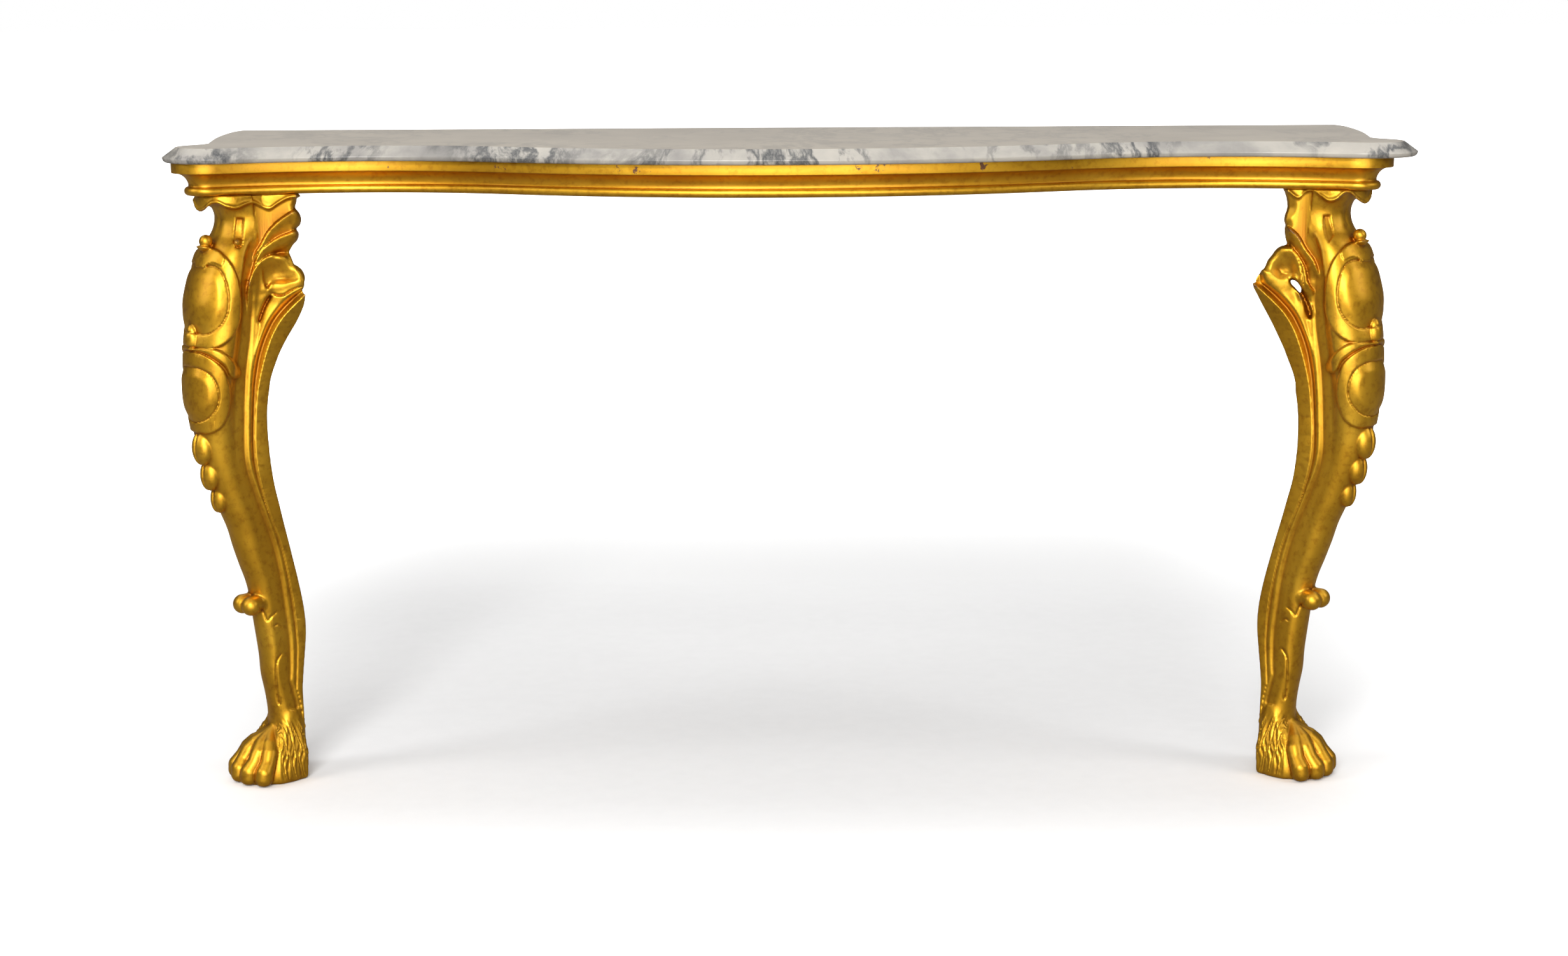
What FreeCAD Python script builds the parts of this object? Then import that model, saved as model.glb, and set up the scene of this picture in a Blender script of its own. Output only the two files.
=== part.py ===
import FreeCAD, Part
import math
import os
from FreeCAD import Vector

# Pier table: a serpentine marble slab on a slim gilded frame, which two carved cabriole legs carry
# at its front corners and screws hold to the wall at its back. Sizes are millimetres.
# X runs along the wall, the wall is the plane Y = 0 with the room at -Y, and +Z is up.
# The model is drawn with Z from the floor, then lowered so that the origin is the middle of the
# back rail's rear face, on the line of the wall screws.
# Plan points are (x, reach): reach is the distance out from the wall, so Y = -reach.

# ---------------------------------------------------------------- overall sizes
HALF_WIDTH = 808.0           # middle of the table to the frame's top fillet at a front corner
FRAME_REACH = 501.0          # wall to the frame's top fillet at the middle of the front
LEG_HEIGHT = 816.0           # floor to the underside of the frame
FRAME_HEIGHT = 44.0
MARBLE_THICKNESS = 20.0

# ---------------------------------------------------------------- plan of the frame's top fillet
BOW_DEPTH = 120.0            # middle of the front stands this far out past the hollows
CORNER_RISE = 50.0           # front corners stand this far out past the hollows
HOLLOW_FROM_END = 258.0      # frame end to the deepest point of a front hollow
LOBE_RADIUS = 46.0           # rounded front corner
WAIST_DEPTH = 28.0           # hollow of the table's end
WAIST_BACK = 75.0            # corner lobe's centre back to the deepest point of that hollow
FLARE_WIDTH = 24.0           # end swells out again by this, towards the wall
FLARE_REACH = 45.0           # wall to the widest point of the swell
TAIL_RADIUS = 150.0          # last turn inwards, at the wall

# ---------------------------------------------------------------- frame moulding, top to bottom
FILLET_HEIGHT = 14.0
FILLET_STEP = 2.0            # small step under the fillet
COVE_DEPTH = 22.0            # deepest point of the cove, in from the fillet
BEAD_RADIUS = 6.0
BEAD_INSET = 16.0            # outermost point of the bead, in from the fillet
STRIP_DEPTH = 30.0           # moulded strip, in from the fillet
STRIP_LAP = 4.0              # strip and rail core share this much, so that they are one piece

# ---------------------------------------------------------------- rails, blocks and battens
FRONT_RAIL_WIDTH = 70.0
SIDE_RAIL_WIDTH = 68.0       # at the waist
BACK_RAIL_THICKNESS = 36.0
REAR_BLOCK_LEG = 60.0
REAR_BLOCK_SETBACK = 4.0     # rear blocks stop this far short of the frame's top and underside
BATTEN_WIDTH = 60.0
BATTEN_THICKNESS = 22.0
BATTEN_FROM_END = 312.0      # back rail's end to the outer battens' middle line
BATTEN_SEAT = 25.0           # batten's end laps this far onto each rail

# ---------------------------------------------------------------- marble edge, from its nose
MARBLE_OVERHANG = 20.0       # nose, out from the frame's fillet
SLAB_SHIFT = 10.0            # the loose slab lies this far to the right of the frame's middle
BEVEL_WIDTH = 18.0           # top arris, in from the nose
NOSE_HEIGHT = 6.0            # nose above the underside
UNDERCUT = 7.0               # underside starts this far in from the nose
EDGE_DEPTH = 34.0            # edge strip, in from the nose
PAD_RADIUS = 12.0
PAD_THICKNESS = 2.0
PAD_FROM_WALL = 110.0        # rear pad of each side rail
PAD_FROM_BLOCK = 42.0        # front pad of each side rail, behind the corner block

# ---------------------------------------------------------------- legs
LEG_INSET = 23.5             # leg's reference line, in from the lobe's centre along the diagonal
POST_SIDE = 78.0             # square post at the leg's top
POST_OUTER = -8.0            # post's outer faces, from the reference line
POST_LENGTH = 101.0          # post's bottom end, below the frame
BLOCK_MARGIN = 6.0           # corner block stands this far past the post on every side
TOE_RADIUS = 15.0
TOE_SINK = 9.0               # toe's middle, in from the foot's round front
TOE_TURNS = (-60.0, -20.0, 20.0, 60.0)
KNOB_RADIUS = 11.0
KNOB_WIDTH = 34.0
KNOB_STEM_RADIUS = 9.0
KNOB_PLACE = 0.3             # share of the way up the shaft
KNOB_FRONT = 4.5             # knob's outermost point, from the reference line

# Sections of the leg, each (place, front, back, thickness): front and back are measured outward
# along the diagonal from the reference line. The foot's places are heights above the floor, the
# shaft's are shares of the way from the foot's last section to the knee's first, and the knee's are
# depths below the frame.
FOOT_SECTIONS = (
    (0.0, 0.0, -74.0, 82.0),
    (34.0, 0.0, -78.0, 80.0),
    (62.0, -36.0, -79.0, 56.0),
    (105.0, -49.0, -84.0, 46.0),
)
SHAFT_SECTIONS = (
    (0.15, -40.0, -90.0, 45.0),
    (0.32, -27.0, -88.0, 49.0),
    (0.49, -5.0, -70.0, 55.0),
    (0.67, 31.0, -46.0, 62.0),
    (0.83, 54.0, -33.0, 70.0),
)
KNEE_SECTIONS = (
    (246.0, 60.0, -34.0, 84.0),
    (166.0, 53.0, -34.0, 100.0),
    (116.0, 46.0, -40.0, 102.0),
    (76.0, 34.0, -52.0, 92.0),
    (42.0, 5.0, -62.0, 76.0),
    (0.0, 38.0, -62.0, 90.0),
)

# Ear: the carved leaf that runs from the knee in under the rail. Points are (along, below): inward
# along the rail from the reference line, and below the frame.
EAR_TOP = 24.0
EAR_BACK = -30.0             # ear's rear face, from the reference line
EAR_FRONT = 4.0              # ear's front face, from the reference line
EAR_INNER = -10.0            # outline starts here, inside the leg
EAR_SIDE_SEAT = 38.0         # flat cut on the leg's side for the ear, from the leg's middle plane
EAR_BACK_SEAT = -32.0        # flat cut on the leg's back for both ears, along the diagonal
EAR_LOBES = (
    ((60.0, EAR_TOP), (88.0, 26.0), (107.0, 36.0)),
    ((107.0, 36.0), (99.0, 41.0), (90.0, 45.0)),
    ((90.0, 45.0), (99.0, 50.0), (104.0, 60.0)),
    ((104.0, 60.0), (97.0, 69.0), (90.0, 76.0)),
    ((90.0, 76.0), (105.0, 97.0), (114.0, 124.0)),
    ((114.0, 124.0), (98.0, 176.0), (68.0, 240.0)),
    ((68.0, 240.0), (59.0, 270.0), (56.0, 300.0)),
)
SLIT_WIDTH = 6.0             # narrow gap carved between the leaf and the knee
SLIT = ((70.0, 126.0), (61.0, 143.0), (50.0, 164.0))

# ---------------------------------------------------------------- fixings
WALL_HOLE_RADIUS = 4.0
WALL_HOLE_FROM_END = 112.0   # back rail's end to the outer holes
WALL_HOLE_INNER = 200.0      # middle of the table to the inner holes
BOLT_RADIUS = 5.0
BOLT_IN_POST = 60.0
NUT_HEIGHT = 8.0
NUT_ACROSS = 17.0
WASHER_RADIUS = 11.0
WASHER_THICKNESS = 2.0
BOLT_TAIL = 2.0              # thread showing past the nut
COUNTERBORE_CLEARANCE = 1.5
BOLT_CLEARANCE = 0.5
DOWEL_RADIUS = 5.0
DOWEL_LENGTH = 50.0
DOWEL_SPREAD = 9.5           # one dowel this far below the frame's middle, one above
EAR_DOWEL_RADIUS = 3.0
EAR_DOWEL_LENGTH = 20.0
EAR_DOWEL_DEPTHS = (44.0, 84.0)
SCREW_SHANK = 2.2
SCREW_HEAD = 4.4
BATTEN_SCREW_LENGTH = 38.0
BLOCK_SCREW_LENGTH = 45.0
BLOCK_SCREW_INSET = 32.0     # from the rear block's square corner
BLOCK_SCREW_POCKET = 8.0     # head lies this deep in the block's sloping face
BLOCK_SCREW_SPREAD = 8.0     # one screw this far below the frame's middle, one above

# ---------------------------------------------------------------- heights and plan places
FRAME_TOP = LEG_HEIGHT + FRAME_HEIGHT
MARBLE_TOP = FRAME_TOP + MARBLE_THICKNESS
SCREW_LINE = LEG_HEIGHT + FRAME_HEIGHT / 2
FAR = 3000.0

HOLLOW_X = HALF_WIDTH - HOLLOW_FROM_END
LOBE = (HALF_WIDTH - LOBE_RADIUS, FRAME_REACH - BOW_DEPTH + CORNER_RISE - LOBE_RADIUS)
SIDE_RAIL_INNER = HALF_WIDTH - WAIST_DEPTH - SIDE_RAIL_WIDTH
DIAGONAL = math.sqrt(0.5)
LEG_X = LOBE[0] - LEG_INSET * DIAGONAL
LEG_REACH = LOBE[1] - LEG_INSET * DIAGONAL
POST_X = (LEG_X + POST_OUTER - POST_SIDE, LEG_X + POST_OUTER)
POST_REACH = (LEG_REACH + POST_OUTER - POST_SIDE, LEG_REACH + POST_OUTER)
BLOCK_X = (POST_X[0] - BLOCK_MARGIN, POST_X[1] + BLOCK_MARGIN)
BLOCK_REACH = (POST_REACH[0] - BLOCK_MARGIN, POST_REACH[1] + BLOCK_MARGIN)
POST_MIDDLE = ((POST_X[0] + POST_X[1]) / 2, (POST_REACH[0] + POST_REACH[1]) / 2)
COUNTERBORE_DEPTH = NUT_HEIGHT + WASHER_THICKNESS + BOLT_TAIL + COUNTERBORE_CLEARANCE
BATTEN_X = SIDE_RAIL_INNER - BATTEN_FROM_END
BATTEN_PLACES = (-BATTEN_X, 0.0, BATTEN_X)
WALL_HOLE_OUTER = SIDE_RAIL_INNER - WALL_HOLE_FROM_END
WALL_HOLE_PLACES = (-WALL_HOLE_OUTER, -WALL_HOLE_INNER, WALL_HOLE_INNER, WALL_HOLE_OUTER)


def at(x, reach, z=0.0):
    """A point from its place along the wall, its reach out from the wall and its height."""
    return Vector(x, -reach, z)


def box(x_range, reach_range, z_range):
    """A block between three pairs of limits."""
    corner = at(x_range[0], reach_range[1], z_range[0])
    return Part.makeBox(x_range[1] - x_range[0], reach_range[1] - reach_range[0],
                        z_range[1] - z_range[0], corner)


def mirrored(shape):
    """The same piece on the table's left."""
    return shape.mirror(Vector(0, 0, 0), Vector(1, 0, 0))


def cylinder(radius, length, start, direction):
    """A round bar from its start point."""
    return Part.makeCylinder(radius, length, start, direction)


def prism(edges, bottom, top):
    """A plan outline, drawn at height 0, raised into a solid."""
    face = Part.Face(Part.Wire(Part.__sortEdges__(edges)))
    face.translate(Vector(0, 0, bottom))
    return face.extrude(Vector(0, 0, top - bottom))


class Bend:
    """One round stretch of the plan outline; outward is +1 where it bulges out of the table."""

    def __init__(self, centre, radius, outward, start, end):
        self.centre = centre
        self.radius = radius
        self.outward = outward
        self.start = start
        self.end = end

    def point(self, angle, offset=0.0):
        """The point at an angle, counted from straight out into the room towards +X."""
        radius = self.radius + offset * self.outward
        return at(self.centre[0] + self.outward * radius * math.sin(angle),
                  self.centre[1] + self.outward * radius * math.cos(angle))

    def edge(self, offset=0.0):
        middle = (self.start + self.end) / 2
        return Part.Arc(self.point(self.start, offset), self.point(middle, offset),
                        self.point(self.end, offset)).toShape()


def half_outline():
    """The right half of the frame's plan, from the middle of the front to just past the wall."""
    fall = HOLLOW_X ** 2 + BOW_DEPTH ** 2
    both_radii = fall / (2 * BOW_DEPTH)
    run = LOBE[0] - HOLLOW_X
    hollow_radius = (run ** 2 + CORNER_RISE ** 2) / (2 * CORNER_RISE) - LOBE_RADIUS
    bow_radius = both_radii - hollow_radius
    bow_turn = math.asin(HOLLOW_X / both_radii)
    bow = Bend((0.0, FRAME_REACH - bow_radius), bow_radius, 1, 0.0, bow_turn)
    lobe_turn = math.asin(run / (hollow_radius + LOBE_RADIUS))
    hollow_centre = (HOLLOW_X, FRAME_REACH - BOW_DEPTH + hollow_radius)
    hollow = Bend(hollow_centre, hollow_radius, -1, bow_turn, -lobe_turn)

    inward = LOBE_RADIUS - WAIST_DEPTH
    waist_radius = (inward ** 2 + WAIST_BACK ** 2 - LOBE_RADIUS ** 2) / (2 * WAIST_DEPTH)
    waist_turn = math.asin(WAIST_BACK / (LOBE_RADIUS + waist_radius))
    waist_reach = LOBE[1] - WAIST_BACK
    waist_centre = (HALF_WIDTH - WAIST_DEPTH + waist_radius, waist_reach)
    lobe = Bend(LOBE, LOBE_RADIUS, 1, -lobe_turn, math.pi / 2 + waist_turn)

    run_back = waist_reach - FLARE_REACH
    both_radii = (FLARE_WIDTH ** 2 + run_back ** 2) / (2 * FLARE_WIDTH)
    flare_radius = both_radii - waist_radius
    flare_turn = math.asin(run_back / both_radii)
    waist = Bend(waist_centre, waist_radius, -1, math.pi / 2 + waist_turn, math.pi / 2 - flare_turn)
    flare_x = HALF_WIDTH - WAIST_DEPTH + FLARE_WIDTH
    flare = Bend((flare_x - flare_radius, FLARE_REACH), flare_radius, 1,
                 math.pi / 2 - flare_turn, math.pi / 2)
    past_wall = math.asin((FLARE_REACH + STRIP_DEPTH) / TAIL_RADIUS)
    tail = Bend((flare_x - TAIL_RADIUS, FLARE_REACH), TAIL_RADIUS, 1,
                math.pi / 2, math.pi / 2 + past_wall)
    return [bow, hollow, lobe, waist, flare, tail]


def full_outline(half):
    """Both halves, from the wall on the left round the front to the wall on the right."""
    left = [Bend((-bend.centre[0], bend.centre[1]), bend.radius, bend.outward, -bend.end, -bend.start)
            for bend in reversed(half[1:])]
    bow = half[0]
    whole_bow = Bend(bow.centre, bow.radius, bow.outward, -bow.end, bow.end)
    return left + [whole_bow] + half[1:]


HALF = half_outline()
OUTLINE = full_outline(HALF)
ROOM_SIDE = box((-FAR, FAR), (0.0, FAR), (0.0, FAR))


def slab(offset, bottom, top):
    """The whole plan at an offset out from the fillet, as a flat slab that ends at the wall."""
    edges = [bend.edge(offset) for bend in OUTLINE]
    ends = (OUTLINE[-1].point(OUTLINE[-1].end, offset), OUTLINE[0].point(OUTLINE[0].start, offset))
    edges.append(Part.LineSegment(*ends).toShape())
    return prism(edges, bottom, top).common(ROOM_SIDE)


def edge_strip(profile):
    """A profile of (offset, z) edges, run round the ends and the front along the plan."""
    first = OUTLINE[0]
    path = Part.Wire([bend.edge() for bend in OUTLINE])

    def place(offset, z):
        point = first.point(first.start, offset)
        return Vector(point.x, point.y, z)

    section = Part.Wire([make(place) for make in profile])
    strip = path.makePipeShell([section], True, True)
    return strip.common(ROOM_SIDE)


def line(start, end):
    """A straight profile edge, made once its plane is known."""
    return lambda place: Part.LineSegment(place(*start), place(*end)).toShape()


def curve(start, middle, end):
    """A round profile edge through three points."""
    return lambda place: Part.Arc(place(*start), place(*middle), place(*end)).toShape()


def frame_profile():
    """Fillet, cove and bead of the frame's outer face."""
    under_fillet = FRAME_TOP - FILLET_HEIGHT
    bead_top = LEG_HEIGHT + 2 * BEAD_RADIUS
    bead_middle = LEG_HEIGHT + BEAD_RADIUS
    cove_mid_offset = -COVE_DEPTH + (COVE_DEPTH - FILLET_STEP) * (1 - DIAGONAL)
    cove_mid_height = bead_top + (under_fillet - bead_top) * DIAGONAL
    corners = {
        "back_top": (-STRIP_DEPTH, FRAME_TOP),
        "front_top": (0.0, FRAME_TOP),
        "fillet_foot": (0.0, under_fillet),
        "cove_top": (-FILLET_STEP, under_fillet),
        "cove_foot": (-COVE_DEPTH, bead_top),
        "bead_top": (-BEAD_INSET - BEAD_RADIUS, bead_top),
        "bead_foot": (-BEAD_INSET - BEAD_RADIUS, LEG_HEIGHT),
        "back_foot": (-STRIP_DEPTH, LEG_HEIGHT),
    }
    edges = [
        line(corners["back_top"], corners["front_top"]),
        line(corners["front_top"], corners["fillet_foot"]),
        line(corners["fillet_foot"], corners["cove_top"]),
        curve(corners["cove_top"], (cove_mid_offset, cove_mid_height), corners["cove_foot"]),
    ]
    if abs(COVE_DEPTH - BEAD_INSET - BEAD_RADIUS) > 0.01:
        edges.append(line(corners["cove_foot"], corners["bead_top"]))
    edges += [
        curve(corners["bead_top"], (-BEAD_INSET, bead_middle), corners["bead_foot"]),
        line(corners["bead_foot"], corners["back_foot"]),
        line(corners["back_foot"], corners["back_top"]),
    ]
    return edges


def marble_profile():
    """Bevelled top edge, rounded nose and undercut of the slab."""
    nose = MARBLE_OVERHANG
    under_mid = UNDERCUT * (1 - DIAGONAL)
    return [
        line((nose - EDGE_DEPTH, MARBLE_TOP), (nose - BEVEL_WIDTH, MARBLE_TOP)),
        line((nose - BEVEL_WIDTH, MARBLE_TOP), (nose, FRAME_TOP + NOSE_HEIGHT)),
        curve((nose, FRAME_TOP + NOSE_HEIGHT), (nose - under_mid, FRAME_TOP + NOSE_HEIGHT * (1 - DIAGONAL)),
              (nose - UNDERCUT, FRAME_TOP)),
        line((nose - UNDERCUT, FRAME_TOP), (nose - EDGE_DEPTH, FRAME_TOP)),
        line((nose - EDGE_DEPTH, FRAME_TOP), (nose - EDGE_DEPTH, MARBLE_TOP)),
    ]


def opening():
    """The space that the four rails enclose."""
    hollow_arc = HALF[1]
    bow = HALF[0]
    radius = hollow_arc.radius + FRONT_RAIL_WIDTH
    side_turn = -math.asin((SIDE_RAIL_INNER - HOLLOW_X) / radius)
    right = Bend(hollow_arc.centre, hollow_arc.radius, -1, hollow_arc.start, side_turn)
    left = Bend((-HOLLOW_X, hollow_arc.centre[1]), hollow_arc.radius, -1, -side_turn, -hollow_arc.start)
    middle = Bend(bow.centre, bow.radius, 1, -bow.end, bow.end)
    front_right = right.point(side_turn, -FRONT_RAIL_WIDTH)
    front_left = left.point(-side_turn, -FRONT_RAIL_WIDTH)
    back_right = at(SIDE_RAIL_INNER, BACK_RAIL_THICKNESS)
    back_left = at(-SIDE_RAIL_INNER, BACK_RAIL_THICKNESS)
    edges = [bend.edge(-FRONT_RAIL_WIDTH) for bend in (left, middle, right)]
    corners = (front_right, back_right, back_left, front_left)
    edges += [Part.LineSegment(a, b).toShape() for a, b in zip(corners, corners[1:])]
    return prism(edges, LEG_HEIGHT, FRAME_TOP)


def zone(points):
    """A plan polygon through the frame's whole height."""
    ring = list(points) + [points[0]]
    edges = [Part.LineSegment(at(*a), at(*b)).toShape() for a, b in zip(ring, ring[1:])]
    return prism(edges, LEG_HEIGHT - 1, FRAME_TOP + 1)


def corner_block():
    """The right front block, whose bolt hole is counterbored for the nut."""
    block = box(BLOCK_X, BLOCK_REACH, (LEG_HEIGHT, FRAME_TOP))
    hole = cylinder(BOLT_RADIUS + BOLT_CLEARANCE, FRAME_HEIGHT, at(*POST_MIDDLE, LEG_HEIGHT), Vector(0, 0, 1))
    bore = cylinder(WASHER_RADIUS + COUNTERBORE_CLEARANCE, COUNTERBORE_DEPTH,
                    at(*POST_MIDDLE, FRAME_TOP - COUNTERBORE_DEPTH), Vector(0, 0, 1))
    return block.cut(hole).cut(bore)


def rear_block():
    """The right rear glue block, a triangle between the back rail and the side rail."""
    corner = (SIDE_RAIL_INNER, BACK_RAIL_THICKNESS)
    points = (corner, (corner[0] - REAR_BLOCK_LEG, corner[1]), (corner[0], corner[1] + REAR_BLOCK_LEG))
    ring = points + (corner,)
    edges = [Part.LineSegment(at(*a), at(*b)).toShape() for a, b in zip(ring, ring[1:])]
    return prism(edges, LEG_HEIGHT + REAR_BLOCK_SETBACK, FRAME_TOP - REAR_BLOCK_SETBACK)


def rear_block_screws():
    """Two screws through the right rear block, one into each rail, and the pockets for their heads."""
    corner = (SIDE_RAIL_INNER, BACK_RAIL_THICKNESS)
    grip = REAR_BLOCK_LEG - BLOCK_SCREW_INSET - BLOCK_SCREW_POCKET
    low = SCREW_LINE - BLOCK_SCREW_SPREAD
    high = SCREW_LINE + BLOCK_SCREW_SPREAD
    heads = (
        (at(corner[0] - BLOCK_SCREW_INSET, corner[1] + grip, low), Vector(0, 1, 0)),
        (at(corner[0] - grip, corner[1] + BLOCK_SCREW_INSET, high), Vector(1, 0, 0)),
    )
    screws = [screw(BLOCK_SCREW_LENGTH, head, direction) for head, direction in heads]
    pockets = [cylinder(SCREW_HEAD, REAR_BLOCK_LEG, head, direction * -1) for head, direction in heads]
    return screws, pockets


def rail_dowels():
    """Dowels at the right end: front rail to corner block, side rail to block, back rail to side rail."""
    half = DOWEL_LENGTH / 2
    dowels = []
    front_end = HALF[1].centre[1] - math.sqrt((HALF[1].radius + FRONT_RAIL_WIDTH) ** 2
                                              - (BLOCK_X[0] - HOLLOW_X) ** 2)
    front_reach = (front_end + BLOCK_REACH[1]) / 2
    side_x = (SIDE_RAIL_INNER + BLOCK_X[1]) / 2
    for height in (SCREW_LINE - DOWEL_SPREAD, SCREW_LINE + DOWEL_SPREAD):
        dowels.append(cylinder(DOWEL_RADIUS, DOWEL_LENGTH,
                               at(BLOCK_X[0] - half, front_reach, height), Vector(1, 0, 0)))
        dowels.append(cylinder(DOWEL_RADIUS, DOWEL_LENGTH,
                               at(side_x, BLOCK_REACH[0] - half, height), Vector(0, -1, 0)))
        dowels.append(cylinder(DOWEL_RADIUS, DOWEL_LENGTH,
                               at(SIDE_RAIL_INNER - half, BACK_RAIL_THICKNESS / 2, height), Vector(1, 0, 0)))
    return dowels


def screw(length, head, direction):
    """A countersunk wood screw; head is the middle of its face."""
    flare = Part.makeCone(SCREW_HEAD, SCREW_SHANK, SCREW_HEAD - SCREW_SHANK, head, direction)
    shank = cylinder(SCREW_SHANK, length, head, direction)
    return shank.fuse(flare).removeSplitter()


def batten_front(x):
    """Reach of the front rail's inner edge over a batten, at the batten's own middle line."""
    bow = HALF[0]
    radius = bow.radius - FRONT_RAIL_WIDTH
    if abs(x) < radius * math.sin(bow.end):
        return bow.centre[1] + math.sqrt(radius ** 2 - x ** 2)
    hollow = HALF[1]
    return hollow.centre[1] - math.sqrt((hollow.radius + FRONT_RAIL_WIDTH) ** 2 - (abs(x) - HOLLOW_X) ** 2)


def batten(x):
    """A bearer under the marble, its ends lapped into the front and back rails."""
    side = (x - BATTEN_WIDTH / 2, x + BATTEN_WIDTH / 2)
    reach = (BACK_RAIL_THICKNESS - BATTEN_SEAT, batten_front(x) + BATTEN_SEAT)
    return box(side, reach, (FRAME_TOP - BATTEN_THICKNESS, FRAME_TOP))


def pad_places():
    """Where the slab's felt pads lie: three to a batten and two to a side rail."""
    places = []
    for x in BATTEN_PLACES:
        first = BACK_RAIL_THICKNESS + BATTEN_SEAT
        last = batten_front(x) - BATTEN_SEAT
        places += [(x, first), (x, (first + last) / 2), (x, last)]
    for side in (-1, 1):
        rail_middle = side * (SIDE_RAIL_INNER + (SIDE_RAIL_WIDTH - STRIP_DEPTH) / 2)
        places += [(rail_middle, PAD_FROM_WALL), (rail_middle, BLOCK_REACH[0] - PAD_FROM_BLOCK)]
    return places


def leg_section(height, front, back, thickness):
    """One level section of the leg: a flat back, straight sides and a round front."""
    half = thickness / 2

    def spot(out, across):
        return at(LEG_X + (out - across) * DIAGONAL, LEG_REACH + (out + across) * DIAGONAL, height)

    shoulder = front - half
    return Part.Wire([
        Part.LineSegment(spot(back, -half), spot(shoulder, -half)).toShape(),
        Part.Arc(spot(shoulder, -half), spot(front, 0), spot(shoulder, half)).toShape(),
        Part.LineSegment(spot(shoulder, half), spot(back, half)).toShape(),
        Part.LineSegment(spot(back, half), spot(back, -half)).toShape(),
    ])


def shaft_height(share):
    """Height of a place on the shaft, from its share of the way up from the foot to the knee."""
    foot = FOOT_SECTIONS[-1][0]
    knee = LEG_HEIGHT - KNEE_SECTIONS[0][0]
    return foot + share * (knee - foot)


def right_leg():
    """The right leg: S-shaped shaft with its square post, shin knob and lion's paw."""
    sections = [leg_section(*section) for section in FOOT_SECTIONS]
    sections += [leg_section(shaft_height(share), *rest) for share, *rest in SHAFT_SECTIONS]
    sections += [leg_section(LEG_HEIGHT - depth, *rest) for depth, *rest in KNEE_SECTIONS]
    shaft = Part.makeLoft(sections, True, False)
    out = Vector(DIAGONAL, -DIAGONAL, 0)
    across = Vector(DIAGONAL, DIAGONAL, 0)
    foot = at(LEG_X, LEG_REACH)

    knob_middle = at(LEG_X, LEG_REACH, shaft_height(KNOB_PLACE)) + out * (KNOB_FRONT - KNOB_RADIUS)
    knob = cylinder(KNOB_RADIUS, KNOB_WIDTH, knob_middle - across * (KNOB_WIDTH / 2), across)
    stem_length = KNOB_FRONT - SHAFT_SECTIONS[1][1] + KNOB_STEM_RADIUS
    stem = cylinder(KNOB_STEM_RADIUS, stem_length, knob_middle, out * -1)

    front, thickness = FOOT_SECTIONS[0][1], FOOT_SECTIONS[0][3]
    toes = []
    for turn in TOE_TURNS:
        lean = math.radians(turn)
        direction = out * math.cos(lean) + across * math.sin(lean)
        middle = foot + out * (front - thickness / 2) + direction * (thickness / 2 - TOE_SINK)
        toes.append(Part.makeSphere(TOE_RADIUS, middle + Vector(0, 0, TOE_RADIUS)))
    leg = shaft.fuse([post(), knob, stem] + toes)

    bolt_end = at(*POST_MIDDLE, LEG_HEIGHT - BOLT_IN_POST)
    bolt_hole = cylinder(BOLT_RADIUS, BOLT_IN_POST, bolt_end, Vector(0, 0, 1))
    leaf = ear_blank()
    return leg.cut([bolt_hole, leaf, swapped(leaf)] + ear_dowels())


def ear_point(place):
    """A front-view point of the ear: inward along the rail and below the frame."""
    along, below = place
    return Vector(LEG_X - along, -(LEG_REACH + EAR_BACK), LEG_HEIGHT - below)


def post():
    """The square top of the right leg."""
    return box(POST_X, POST_REACH, (LEG_HEIGHT - POST_LENGTH, LEG_HEIGHT))


def diagonal_box(out_range, across_range):
    """A tall block in the right leg's diagonal directions: outward, and across towards the ear."""
    size = (out_range[1] - out_range[0], across_range[1] - across_range[0])
    block = Part.makeBox(size[0], size[1], LEG_HEIGHT, Vector(out_range[0], -across_range[1], 0))
    block.rotate(Vector(0, 0, 0), Vector(0, 0, 1), -45)
    block.translate(at(LEG_X, LEG_REACH))
    return block


def ear_blank():
    """The right leg's front ear before it is pierced, cut to its seats on the leg and the post."""
    edges = [Part.Arc(*[ear_point(p) for p in lobe]).toShape() for lobe in EAR_LOBES]
    top_inner = (EAR_INNER, EAR_TOP)
    foot_inner = (EAR_INNER, EAR_LOBES[-1][2][1])
    edges.append(Part.LineSegment(ear_point(EAR_LOBES[-1][2]), ear_point(foot_inner)).toShape())
    edges.append(Part.LineSegment(ear_point(foot_inner), ear_point(top_inner)).toShape())
    edges.append(Part.LineSegment(ear_point(top_inner), ear_point(EAR_LOBES[0][0])).toShape())
    board = Part.Face(Part.Wire(edges)).extrude(Vector(0, EAR_BACK - EAR_FRONT, 0))
    far_side = diagonal_box((-FAR, FAR), (-FAR, 0.0))
    knee = diagonal_box((EAR_BACK_SEAT, FAR), (-FAR, EAR_SIDE_SEAT))
    return board.cut([far_side, knee, post()])


def front_ear():
    """The right leg's front ear, a leaf cut from the board and pierced by a slit beside the knee."""
    half = SLIT_WIDTH / 2
    near = [ear_point((along - half, below)) for along, below in SLIT]
    far = [ear_point((along + half, below)) for along, below in SLIT]
    slit = Part.Face(Part.Wire([
        Part.Arc(*near).toShape(),
        Part.LineSegment(near[2], far[2]).toShape(),
        Part.Arc(*reversed(far)).toShape(),
        Part.LineSegment(far[0], near[0]).toShape(),
    ])).extrude(Vector(0, EAR_BACK - EAR_FRONT, 0))
    return ear_blank().cut([slit] + ear_dowels())


def swapped(shape):
    """The right leg's other side: the front ear mirrored about the leg's diagonal."""
    across = Vector(DIAGONAL, DIAGONAL, 0)
    return shape.mirror(at(LEG_X, LEG_REACH), across)


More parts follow.
